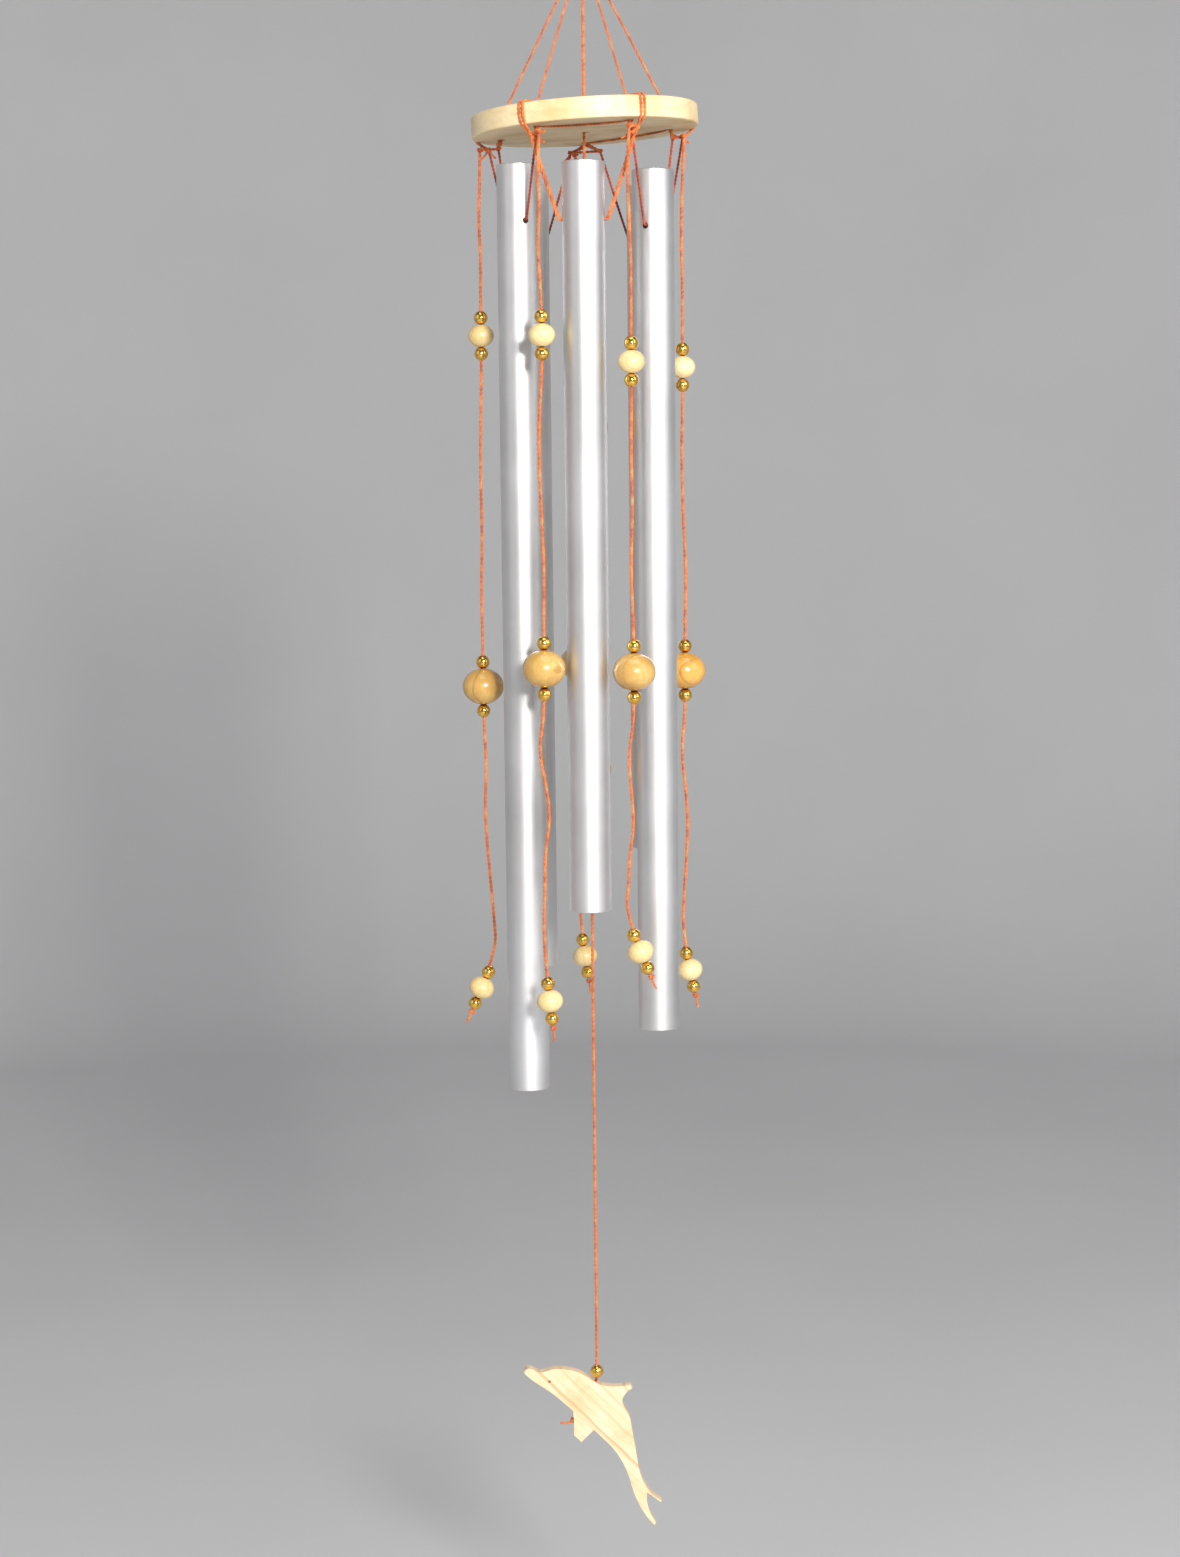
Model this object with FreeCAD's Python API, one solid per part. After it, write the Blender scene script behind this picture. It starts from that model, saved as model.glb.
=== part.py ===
import FreeCAD, Part
import math
import os

# Wind chime: five aluminium tubes and five beaded strands hung in a ring under a round wooden disc, with two
# wooden strikers and a flat wooden dolphin on the cord in the middle. Millimetres. The origin is where a hook
# bears inside the top of the hanging ring. +Z is up, +X to the right, and the front faces -Y. Angles round
# the chime are measured from the front, positive to the right.
Vec = FreeCAD.Vector

# Hanging ring and crown knot
ring_inner_radius = 10.0
ring_wire_radius = 1.1
crown_loop_cord = 1.4
crown_loop_clearance = 0.5
crown_knot_radius = 4.4
crown_clearance = 1.4  # between the ring's wire and the crown knot
joint_gap = 0.3  # between a knot and a cord that swings on it

# Disc
disc_radius = 60.0
disc_thickness = 11.0
disc_edge_round = 1.8
disc_top_drop = 111.9
disc_tilt = 3.0  # degrees, the disc hangs lower on its left
anchor_hole_inset = 14.0  # from the rim
anchor_hole_clearance = 0.35
centre_hole_clearance = 1.15

# Cords, by diameter
suspension_cord = 1.3
lashing_cord = 1.5
strand_cord = 1.7
striker_cord = 1.7
sling_cords = {"front": 2.2, "front_left": 1.4, "front_right": 1.4, "back_left": 1.4, "back_right": 1.4}
cord_off_wood = 0.1

# Folds of the tight cords, by the radius of the fold's middle
suspension_fold = 1.6
lashing_fold = 1.7
sling_fold = 1.8
catcher_fold = 5.0

# In an anchor hole: the suspension cord on the inner side, the two strands of the lashing on the outer side
suspension_off_centre = -0.8
lashing_off_centre = 1.0
lashing_gap = 0.7  # between the two strands of a lashing
stopper_radius = 2.0
stopper_reach = 7.0
stopper_drop = 2.0

# Lashing knots under the disc
knot_radius = 2.5
knot_clearance = 0.1  # below the lashing's strands
outer_knot_inset = 6.5
inner_knot_inset = 12.0
back_knot_inset = 8.0
back_knot_spread = 8.0
lashing_end_spread = 1.2
lashing_tie_radius = 1.0  # where the knots' cords leave the lashing
anchors = {"left": -104.0, "front_left": -32.0, "front_right": 29.5, "right": 104.0, "back": 180.0}

# Tubes
tube_radius = 11.1
tube_wall = 1.2
tube_end_chamfer = 0.3
tube_hole_inset = 29.5  # from the tube's top to its cross hole
tube_hole_clearance = 0.5
sling_stand_off = 1.8  # the sling's corner outside the tube wall
tubes = {
    "front": {"length": 388.5, "drop": 49.6, "slip": -0.5},
    "front_left": {"length": 493.0, "drop": 47.5, "slip": 0.0},
    "front_right": {"length": 457.0, "drop": 50.9, "slip": 0.0},
    "back_left": {"length": 427.0, "drop": 54.0, "slip": -2.0},
    "back_right": {"length": 360.5, "drop": 54.7, "slip": 4.0},
}  # drop is from the disc's underside to the cross hole, slip is along the sling from its middle
slings = {
    "front": (("front_left", "outer"), ("front_right", "outer")),
    "front_left": (("left", "inner"), ("front_left", "inner")),
    "front_right": (("front_right", "inner"), ("right", "inner")),
    "back_left": (("left", "outer"), ("back", "outer")),
    "back_right": (("back", "inner"), ("right", "outer")),
}

# Beads, each bore wider than the cord by its clearance all round
brass_radius = 3.7
brass_clearance = 0.25
small_bead_radius = 7.0
small_bead_height = 12.1
small_bead_clearance = 0.65
large_bead_radius = 11.3
large_bead_height = 19.8
large_bead_clearance = 1.15
bead_gap = 0.05
striker_clearance = 0.6  # a front strand's large bead beside the front tube as it swings past
end_knot_radius = 2.1
tail_length = 6.0
tail_radius = 0.7

# Strands: where each hangs, the heights of its three groups of beads below the disc's underside, and the lean
# of its last group. Each cord's points are (drop, sideways, back), from its hanging point.
strands = {
    "left": {
        "angle": -102.0,
        "inset": 2.2,
        "groups": (105.0, 294.0, 461.0),
        "lean": -24.0,
        "upper": [(24, 0.5, 0.2), (44, -0.4, -0.3), (64, 0.4, 0.2), (86, 0, 0)],
        "middle": [
            (124, 0, 0), (148, -0.8, 0.4), (178, -1.4, -0.2), (210, -0.9, 0.3), (242, -1.9, 0),
            (271, -1.6, 0),
        ],
        "lower": [
            (317, -1.6, 0), (338, -0.4, 0.5), (360, -1.8, -0.3), (382, -0.7, 0.4),
            (402, 0.9, 0), (421, 2.4, -0.2), (442, 3.6, 0),
        ],
    },
    "front_left": {
        "beside": -1,
        "inset": 2.1,
        "groups": (108.0, 280.0, 456.0),
        "lean": 6.0,
        "upper": [(24, -0.5, -0.2), (42, 0.5, 0.3), (64, -0.7, 0), (89, 0.8, 0)],
        "middle": [
            (127, 0.8, 0), (148, -0.9, 0.3), (172, -1.3, -0.2), (200, -0.4, 0.2), (228, 0.7, 0), (257, 0, 0),
        ],
        "lower": [
            (303, 0, 0), (322, -3.4, 0.4), (341, 0.2, -0.5), (358, 2.3, 0.2),
            (376, -0.6, 0.4), (395, -0.9, -0.3), (414, -2.0, 0), (436, -1.2, 0),
        ],
    },
    "front_right": {
        "beside": 1,
        "inset": 2.3,
        "groups": (122.0, 282.0, 430.0),
        "lean": 22.0,
        "upper": [(24, -0.6, 0.2), (46, 0.3, -0.3), (72, 1.0, 0.2), (103, 0.8, 0)],
        "middle": [(141, 0.8, 0), (168, 0.3, 0.3), (198, 0.9, -0.3), (230, -0.4, 0.2), (259, 0.9, 0)],
        "lower": [
            (305, 0.9, 0), (325, -2.4, -0.4), (344, -1.2, 0.4), (362, 0.3, 0),
            (378, -2.2, 0.3), (394, -3.0, -0.2), (411, -4.6, 0),
        ],
    },
    "right": {
        "angle": 96.5,
        "inset": 7.2,
        "groups": (123.0, 286.0, 451.0),
        "lean": 12.0,
        "upper": [(30, -0.7, 0.2), (56, -1.3, -0.2), (80, -0.6, 0.2), (104, -1.0, 0)],
        "middle": [(142, -1.0, 0), (168, -1.7, 0.3), (200, -1.2, -0.3), (232, 0.2, 0.2), (263, -0.6, 0)],
        "lower": [
            (309, -0.6, 0), (330, -3.0, -0.4), (350, -0.7, 0.4), (368, 0.5, 0),
            (388, -0.4, 0.3), (408, -1.9, -0.2), (432, -3.0, 0),
        ],
    },
    "back": {
        "angle": -174.5,
        "inset": 2.7,
        "groups": (113.0, 285.0, 452.0),
        "lean": 8.0,
        "upper": [(26, -0.4, 0.2), (50, 0.5, -0.3), (72, -0.4, 0.2), (94, 0.3, 0)],
        "middle": [
            (132, 0.3, 0), (154, -0.7, 0.3), (182, 0.6, -0.3), (212, -0.5, 0.2), (240, 0.6, 0), (262, 0.2, 0),
        ],
        "lower": [
            (308, 0.2, 0), (330, -1.3, 0.4), (352, 0.6, -0.4), (374, -0.8, 0.3),
            (394, 0.4, 0), (414, -0.7, -0.2), (433, -1.4, 0),
        ],
    },
}

# Strikers and the wind catcher, below the disc's underside
striker_pivot_drop = 3.0
striker_drops = (154.9, 338.7)
catcher_bead_drop = 676.7
catcher_knot_radius = 2.3
catcher_knot_out = 2.0  # beyond the mouth of the dolphin's hole
catcher_tail = Vec(-7, 0, -1)
dolphin_thickness = 6.0
dolphin_rise = 0.4  # the bead's middle above the outline's origin
dolphin_hole_clearance = 0.45
dolphin_eye = Vec(-26.5, 0, -4.4)
dolphin_eye_radius = 0.8
dolphin_hole_in = Vec(0, 0, -4.6)  # where the cord bends, just above the dolphin's back
dolphin_hole_out = Vec(-12.7, 0, -26.0)
# The outline, clockwise, in strokes that meet at its corners: each starts where the one before it ends
dolphin_strokes = [
    [(-40.3, 1.6), (-38.9, 3.0), (-32.8, 1.2), (-25.0, 2.5), (-17.7, 2.5), (-11.3, 1.1), (-5.6, -1.9),
     (0.8, -6.1), (8.6, -7.6), (18.4, -6.9)],
    [(19.7, -8.6)],
    [(15.3, -12.4), (14.0, -15.4), (17.0, -23.1), (19.2, -32.0), (20.7, -40.9), (22.0, -49.6), (23.4, -57.2),
     (27.0, -65.8), (35.5, -74.0)],
    [(34.9, -74.7)],
    [(31.0, -71.6), (27.5, -69.2)],
    [(27.3, -74.0), (28.5, -79.5), (32.2, -86.9)],
    [(31.3, -88.0)],
    [(28.0, -84.3), (24.5, -78.8), (21.1, -71.8), (18.5, -63.8), (16.1, -56.2), (12.5, -48.9), (7.0, -41.4),
     (1.1, -35.5), (-2.0, -32.4)],
    [(-9.0, -39.4)],
    [(-13.1, -35.4)],
    [(-13.1, -28.9), (-13.5, -21.4)],
    [(-18.6, -16.7), (-25.0, -11.2), (-30.6, -7.3), (-35.2, -4.1), (-39.3, -0.6)],
]

# Sizes that follow from those above
disc_top = Vec(0, 0, -disc_top_drop)
underside_level = disc_top.z - disc_thickness
lashing_spread = lashing_cord / 2 + lashing_gap / 2
anchor_hole_radius = math.hypot(lashing_off_centre, lashing_spread) + lashing_cord / 2 + anchor_hole_clearance
centre_hole_radius = striker_cord / 2 + centre_hole_clearance
knot_drop = cord_off_wood + lashing_cord + knot_clearance + knot_radius
tube_hole_radius = max(sling_cords.values()) / 2 + tube_hole_clearance
dolphin_hole_radius = striker_cord / 2 + dolphin_hole_clearance
ball_axis = Vec(0.31, 0.52, 0.79)  # off every cord's line, so that no cord leaves a knot at its poles
cord_radii = []


def around(angle, radius):
    """A horizontal place at an angle from the front."""
    turn = math.radians(angle)
    return Vec(radius * math.sin(turn), -radius * math.cos(turn), 0)


def tilted(shape):
    """Turns a shape, or moves a point, with the disc's tilt about the middle of its top."""
    if isinstance(shape, FreeCAD.Vector):
        turn = FreeCAD.Rotation(Vec(0, 1, 0), -disc_tilt)
        return disc_top + turn.multVec(shape - disc_top)
    turned = shape.copy()
    turned.rotate(disc_top, Vec(0, 1, 0), -disc_tilt)
    return turned


def on_disc(place, below):
    """The level disc's point at a horizontal place, so far below its top."""
    return Vec(place.x, place.y, disc_top.z - below)


def direction(start, end):
    line = end - start
    return line.normalize()


def cord(points, diameter, fold=None, report=None):
    """A tube on straight runs joined by tangent arcs, each as large as its runs or the fold allow."""
    edges, start, length, radii = [], points[0], 0.0, []
    for before, corner, after in zip(points, points[1:], points[2:]):
        into, away = direction(before, corner), direction(corner, after)
        half = into.getAngle(away) / 2
        reach = 0.45 * min((corner - before).Length, (after - corner).Length)
        if fold:
            reach = min(reach, fold * math.tan(half))
        radius = reach / math.tan(half)
        inward = (away - into).normalize()
        first, last = corner - into * reach, corner + away * reach
        middle = corner + inward * (radius / math.cos(half) - radius)
        edges.append(Part.LineSegment(start, first).toShape())
        edges.append(Part.Arc(first, middle, last).toShape())
        length += (first - start).Length + radius * 2 * half
        radii.append(radius)
        start = last
    edges.append(Part.LineSegment(start, points[-1]).toShape())
    length += (points[-1] - start).Length
    path = Part.Wire(edges)
    round_end = Part.Circle(points[0], direction(points[0], points[1]), diameter / 2).toShape()
    tube = path.makePipeShell([Part.Wire([round_end])], True, False)
    if report:
        share = tube.Volume / (math.pi * diameter**2 / 4 * length)
        tightest = f"{min(radii):.1f}" if radii else "none"
        cord_radii.append(f"{report}: length {length:.1f}, tightest {tightest}, volume {share:.4f} of it")
    return tube


def ball(centre, radius):
    return Part.makeSphere(radius, centre, ball_axis)


def circles(shape):
    return [edge for edge in shape.Edges if edge.Curve.TypeId == "Part::GeomCircle"]


def rod(start, end, radius):
    return Part.makeCylinder(radius, (end - start).Length, start, direction(start, end))


def bead(centre, axis, radius, height, bore):
    """An oblate bead with a bore, its flat ends where the bore meets the ellipse."""
    reach = math.acos(bore / radius)
    end = height / 2 * math.sin(reach)
    if abs(2 * radius - height) < 1e-6:
        side = Part.Arc(Vec(bore, 0, -end), Vec(radius, 0, 0), Vec(bore, 0, end))
    else:
        turns = [reach * (number / 8 - 1) for number in range(17)]
        side = Part.BSplineCurve()
        side.interpolate([Vec(radius * math.cos(turn), 0, height / 2 * math.sin(turn)) for turn in turns])
    wall = Part.LineSegment(side.value(side.LastParameter), side.value(side.FirstParameter))
    profile = Part.Face(Part.Wire([side.toShape(), wall.toShape()]))
    solid = profile.revolve(Vec(0, 0, 0), Vec(0, 0, 1), 360)
    solid.Placement = FreeCAD.Placement(centre, FreeCAD.Rotation(Vec(0, 0, 1), axis))
    return solid


def half_height(kind):
    """Half the length of a bead between its flat ends."""
    return kind["height"] / 2 * math.sqrt(1 - (kind["bore"] / kind["radius"]) ** 2)


def bead_kind(radius, height, clearance):
    return {"radius": radius, "height": height, "bore": max(strand_cord, striker_cord) / 2 + clearance}


brass = bead_kind(brass_radius, 2 * brass_radius, brass_clearance)
small_bead = bead_kind(small_bead_radius, small_bead_height, small_bead_clearance)
large_bead = bead_kind(large_bead_radius, large_bead_height, large_bead_clearance)


def bead_group(centre, axis, kind):
    """A wooden bead with a brass bead against each flat end. axis points down the cord."""
    step = half_height(kind) + bead_gap + half_height(brass)
    wood = bead(centre, axis, *kind.values())
    pair = [bead(centre + axis * side, axis, *brass.values()) for side in (-step, step)]
    return wood, pair


def group_half_length(kind):
    return half_height(kind) + bead_gap + 2 * half_height(brass)


nodes = {}


def keep(name, *solids):
    nodes[name] = solids[0] if len(solids) == 1 else Part.makeCompound(list(solids))


def fused(solids):
    whole = solids[0].multiFuse(solids[1:])
    return whole.Solids[0] if len(whole.Solids) == 1 else whole


# ---- Hanging ring and crown knot ----
ring_centre = Vec(0, 0, -ring_inner_radius)
wire_bottom = Vec(0, 0, -2 * ring_inner_radius - ring_wire_radius)
crown = wire_bottom - Vec(0, 0, ring_wire_radius + crown_clearance + crown_knot_radius)


def make_ring():
    keep(
        "hanging_ring",
        Part.makeTorus(ring_inner_radius + ring_wire_radius, ring_wire_radius, ring_centre, Vec(0, 1, 0)),
    )
    loop_radius = ring_wire_radius + crown_loop_clearance + crown_loop_cord / 2
    loop = Part.makeTorus(loop_radius, crown_loop_cord / 2, wire_bottom, Vec(1, 0, 0))
    keep("crown_knot", fused([ball(crown, crown_knot_radius), loop]))


# ---- Disc and suspension ----

def make_disc():
    disc = Part.makeCylinder(disc_radius, disc_thickness, on_disc(Vec(), disc_thickness))
    disc = disc.makeFillet(disc_edge_round, circles(disc))
    drill = 3 * disc_thickness
    holes = [Part.makeCylinder(centre_hole_radius, drill, on_disc(Vec(), 2 * disc_thickness))]
    for angle in anchors.values():
        place = around(angle, disc_radius - anchor_hole_inset)
        holes.append(Part.makeCylinder(anchor_hole_radius, drill, on_disc(place, 2 * disc_thickness)))
    keep("top_disc", tilted(disc.cut(Part.makeCompound(holes))))


def thread_points(anchor):
    """From the crown knot down to the bottom of an anchor hole, on the inner side of the hole."""
    place = around(anchors[anchor], disc_radius - anchor_hole_inset + suspension_off_centre)
    mouth = tilted(on_disc(place, -1.0))
    foot = tilted(on_disc(place, disc_thickness + suspension_cord / 2 + cord_off_wood))
    start = crown + direction(crown, mouth) * (crown_knot_radius + joint_gap)
    return [start, mouth, foot]


def make_suspension():
    for name, pair in (("front", ("front_left", "front_right")), ("back", ("right", "back"))):
        first, second = (thread_points(anchor) for anchor in pair)
        route = first + second[::-1]
        node = f"suspension_cord_{name}"
        keep(node, cord(route, suspension_cord, suspension_fold, node))
    route = thread_points("left")
    aside = tilted(disc_top + around(anchors["left"] + 90, stopper_reach)) - disc_top
    stopper = route[-1] + aside - Vec(0, 0, stopper_drop)
    tube = cord(route + [stopper], suspension_cord, suspension_fold, "suspension_cord_left")
    keep("suspension_cord_left", fused([tube, ball(stopper, stopper_radius)]))
    hanger_end = striker_pivot + Vec(0, 0, joint_gap)
    hanger_start = crown + Vec(0, 0, -crown_knot_radius - joint_gap)
    keep("centre_hanger_cord", cord([hanger_start, hanger_end], striker_cord, None, "centre_hanger_cord"))


# ---- Lashings: a doubled cord round the rim at each anchor, with the knots it ends in ----
def under_disc(place, below):
    return tilted(on_disc(place, disc_thickness + below))


def knot_at(anchor, which):
    """The middle of the knot that a sling's end is tied to."""
    angle = anchors[anchor]
    if anchor == "back":
        side = back_knot_spread if which == "outer" else -back_knot_spread
        return under_disc(around(angle, disc_radius - back_knot_inset) + around(angle + 90, side), knot_drop)
    inset = outer_knot_inset if which == "outer" else inner_knot_inset
    return under_disc(around(angle, disc_radius - inset), knot_drop)


def strand_place(strand):
    """The horizontal place that a strand hangs from."""
    reach = disc_radius - strand["inset"]
    if "angle" in strand:
        return around(strand["angle"], reach)
    side = tube_place("front").x + strand["beside"] * (tube_radius + large_bead_radius + striker_clearance)
    return Vec(side, -math.sqrt(reach**2 - side**2), 0)


def make_lashing(anchor):
    angle = anchors[anchor]
    off = lashing_cord / 2 + cord_off_wood
    hole, rim = disc_radius - anchor_hole_inset + lashing_off_centre, disc_radius + off
    knot = disc_radius - (outer_knot_inset + inner_knot_inset) / 2
    above, below = -off, disc_thickness + off
    stops = [
        (knot - lashing_end_spread, below), (hole, below), (hole, above),
        (rim, above), (rim, below), (knot + lashing_end_spread, below),
    ]
    strands_round = []
    for side in (-lashing_spread, lashing_spread):
        across = around(angle + 90, side)
        route = [tilted(on_disc(around(angle, radius) + across, depth)) for radius, depth in stops]
        strands_round.append(cord(route, lashing_cord, lashing_fold))
    outer, inner = knot_at(anchor, "outer"), knot_at(anchor, "inner")
    hanging = under_disc(strand_place(strands[anchor]), knot_drop)
    tie = under_disc(around(angle, knot), lashing_tie_radius + 2 * cord_off_wood)
    pieces = [ball(tie, lashing_tie_radius)]
    for place in (outer, inner, hanging):
        pieces += [ball(place, knot_radius), rod(tie, place, lashing_cord / 2)]
    keep(f"rim_lashing_{anchor}", *strands_round, fused(pieces))


# ---- Tubes and the slings that they hang in ----
def sling_line(name):
    (first, first_knot), (last, last_knot) = slings[name]
    return knot_at(first, first_knot), knot_at(last, last_knot)


def tube_place(name):
    """The horizontal place of a tube's axis, under its sling."""
    start, end = sling_line(name)
    along = Vec(end.x - start.x, end.y - start.y, 0).normalize()
    middle = (start + end) * 0.5
    return Vec(middle.x, middle.y, 0) + along * tubes[name]["slip"]


def tube_hole(name):
    place = tube_place(name)
    return Vec(place.x, place.y, underside_level - tubes[name]["drop"])


def hole_axis(name):
    start, end = sling_line(name)
    return Vec(end.x - start.x, end.y - start.y, 0).normalize()


def make_tube(name):
    hole, length = tube_hole(name), tubes[name]["length"]
    foot = hole + Vec(0, 0, tube_hole_inset - length)
    outside = Part.makeCylinder(tube_radius, length, foot)
    outside = outside.makeChamfer(tube_end_chamfer, circles(outside))
    inside = Part.makeCylinder(tube_radius - tube_wall, length + 2, foot + Vec(0, 0, -1))
    axis = hole_axis(name)
    cross = rod(hole - axis * 2 * tube_radius, hole + axis * 2 * tube_radius, tube_hole_radius)
    keep(f"tube_{name}", outside.cut(inside).cut(cross))


def make_sling(name):
    start, end = sling_line(name)
    hole, axis = tube_hole(name), hole_axis(name)
    corners = [hole - axis * (tube_radius + sling_stand_off), hole + axis * (tube_radius + sling_stand_off)]
    clear = knot_radius + joint_gap
    route = [
        start + direction(start, corners[0]) * clear, *corners, end + direction(end, corners[1]) * clear,
    ]
    keep(f"sling_{name}", cord(route, sling_cords[name], sling_fold, f"sling_{name}"))


# ---- Beaded strands ----
def make_strand(name):
    strand = strands[name]
    place = strand_place(strand)
    hanging = under_disc(place, knot_drop)

    def at(drop, sideways, back):
        return Vec(place.x + sideways, place.y + back, underside_level - drop)

    lean = math.radians(strand["lean"])
    down = Vec(0, 0, -1)
    last = Vec(math.sin(lean), 0, -math.cos(lean))
    small, large, bottom = strand["groups"]
    first_centre = at(small, *strand["middle"][0][1:])
    large_centre = at(large, *strand["lower"][0][1:])
    corner = at(*strand["lower"][-1])
    last_centre = corner + last * ((bottom - strand["lower"][-1][0]) / math.cos(lean))
    end = last_centre + last * group_half_length(small_bead)
    route = [hanging + Vec(0, 0, -knot_radius - joint_gap)]
    route += [at(*point) for part in ("upper", "middle", "lower") for point in strand[part]] + [end]
    keep(f"strand_cord_{name}", cord(route, strand_cord, None, f"strand_cord_{name}"))

    first_wood, first_brass = bead_group(first_centre, down, small_bead)
    large_wood, large_brass = bead_group(large_centre, down, large_bead)
    last_wood, last_brass = bead_group(last_centre, last, small_bead)
    keep(f"small_beads_{name}", first_wood, last_wood)
    keep(f"large_bead_{name}", large_wood)
    keep(f"brass_beads_{name}", *first_brass, *large_brass, *last_brass)

    knot = ball(end + last * (0.7 * end_knot_radius), end_knot_radius)
    above = rod(end + last * bead_gap, end - last * 2 * end_knot_radius, 2 * end_knot_radius)
    tail = rod(end + last * end_knot_radius, end + last * (end_knot_radius + tail_length), tail_radius)
    keep(f"end_knot_{name}", fused([knot.cut(above), tail]))


# ---- Strikers on the centre cord ----
striker_pivot = on_disc(Vec(), disc_thickness - striker_pivot_drop)
upper_striker, lower_striker = (Vec(0, 0, underside_level - drop) for drop in striker_drops)
lower_pivot = upper_striker - Vec(0, 0, group_half_length(large_bead) + joint_gap)
catcher_bead = Vec(0, 0, underside_level - catcher_bead_drop)


def make_strikers():
    down = Vec(0, 0, -1)
    upper_end = upper_striker + down * group_half_length(large_bead)
    keep("striker_cord_upper", cord([striker_pivot, upper_end], striker_cord, None, "striker_cord_upper"))
    lower_end = catcher_bead + Vec(0, 0, half_height(brass) + joint_gap)
    keep("striker_cord_lower", cord([lower_pivot, lower_end], striker_cord, None, "striker_cord_lower"))
    for name, centre in (("upper", upper_striker), ("lower", lower_striker)):
        wood, pair = bead_group(centre, down, large_bead)
        keep(f"striker_bead_{name}", wood)
        keep(f"striker_brass_{name}", *pair)


# ---- Wind catcher: a flat dolphin on the end of the centre cord ----
def stroke_edge(points):
    if len(points) == 2:
        return Part.LineSegment(*points).toShape()
    curve = Part.BSplineCurve()
    curve.interpolate(points)
    return curve.toShape()


def make_wind_catcher():
    origin = catcher_bead - Vec(0, 0, dolphin_rise)
    front = Vec(0, -dolphin_thickness / 2, 0)
    edges, last = [], dolphin_strokes[-1][-1]
    for stroke in dolphin_strokes:
        edges.append(stroke_edge([origin + front + Vec(x, 0, z) for x, z in [last, *stroke]]))
        last = stroke[-1]
    body = Part.Face(Part.Wire(edges)).extrude(Vec(0, dolphin_thickness, 0))
    into, out = origin + dolphin_hole_in, origin + dolphin_hole_out
    slope = direction(into, out)
    drilled = [rod(into, out + slope * 8, dolphin_hole_radius), ball(into, dolphin_hole_radius)]
    drilled.append(rod(into, catcher_bead, dolphin_hole_radius))
    eye = origin + dolphin_eye
    drilled.append(rod(eye + front * 2, eye - front * 2, dolphin_eye_radius))
    dolphin = body.cut(drilled)

    top = catcher_bead + Vec(0, 0, half_height(brass))
    knot_middle = out + slope * catcher_knot_out
    tail_start = knot_middle + slope * 1.0
    thread = cord([top, into, out + slope * 1.5], striker_cord, catcher_fold, "wind_catcher_cord")
    knot = ball(knot_middle, catcher_knot_radius).cut(dolphin).cut(thread)
    tail = rod(tail_start, tail_start + catcher_tail, tail_radius)
    keep("wind_catcher", dolphin)
    keep("wind_catcher_bead", bead(catcher_bead, Vec(0, 0, 1), *brass.values()))
    keep("wind_catcher_cord", thread)
    keep("wind_catcher_knot", fused([knot, tail.cut(dolphin).cut(thread)]))


def build():
    make_ring()
    make_disc()
    make_suspension()
    for anchor in anchors:
        make_lashing(anchor)
    for name in tubes:
        make_tube(name)
        make_sling(name)
    for name in strands:
        make_strand(name)
    make_strikers()
    make_wind_catcher()
    os.makedirs("parts", exist_ok=True)
    for name, shape in nodes.items():
        if not shape.isValid() or not shape.Solids:
            print("not a valid solid:", name)
        shape.exportStep(f"parts/{name}.step")
    print("\n".join(cord_radii))
    print(len(nodes), "nodes")


build()
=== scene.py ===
import math
import random

import bmesh
import bpy
from mathutils import Matrix, Vector


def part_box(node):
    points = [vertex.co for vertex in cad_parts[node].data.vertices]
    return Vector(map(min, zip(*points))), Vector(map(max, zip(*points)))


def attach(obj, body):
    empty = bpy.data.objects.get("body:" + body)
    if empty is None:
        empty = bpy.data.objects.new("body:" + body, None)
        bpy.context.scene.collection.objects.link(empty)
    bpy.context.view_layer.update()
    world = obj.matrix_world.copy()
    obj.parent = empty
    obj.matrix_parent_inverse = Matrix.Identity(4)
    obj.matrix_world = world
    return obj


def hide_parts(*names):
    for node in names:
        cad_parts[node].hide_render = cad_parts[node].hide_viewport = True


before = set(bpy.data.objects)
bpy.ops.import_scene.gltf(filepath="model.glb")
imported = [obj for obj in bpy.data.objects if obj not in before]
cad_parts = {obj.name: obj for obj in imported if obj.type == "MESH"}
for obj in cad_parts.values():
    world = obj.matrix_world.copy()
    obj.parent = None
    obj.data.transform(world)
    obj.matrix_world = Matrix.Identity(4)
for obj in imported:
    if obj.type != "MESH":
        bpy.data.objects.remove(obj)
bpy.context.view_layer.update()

mm = 0.001
scene = bpy.context.scene

# Camera: level with the upper half of the tubes, tipped a little down
cameraSet = {"place": (-0.4 * mm, -1.451, -0.2989), "pitch": 6.6, "roll": 0.6, "lens": 62.13, "sensor": 36.0}


def makeCamera():
    data = bpy.data.cameras.new("photoCamera")
    data.sensor_fit = "VERTICAL"
    data.sensor_height = cameraSet["sensor"]
    data.lens = cameraSet["lens"]
    data.clip_start = 0.05
    camera = bpy.data.objects.new("photoCamera", data)
    tip = Matrix.Rotation(math.radians(90 - cameraSet["pitch"]), 4, "X")
    roll = Matrix.Rotation(math.radians(-cameraSet["roll"]), 4, "Z")
    camera.matrix_world = Matrix.Translation(cameraSet["place"]) @ tip @ roll
    scene.collection.objects.link(camera)
    scene.camera = camera
    scene.view_settings.view_transform = "Standard"


makeCamera()
print("camera placed")

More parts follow.
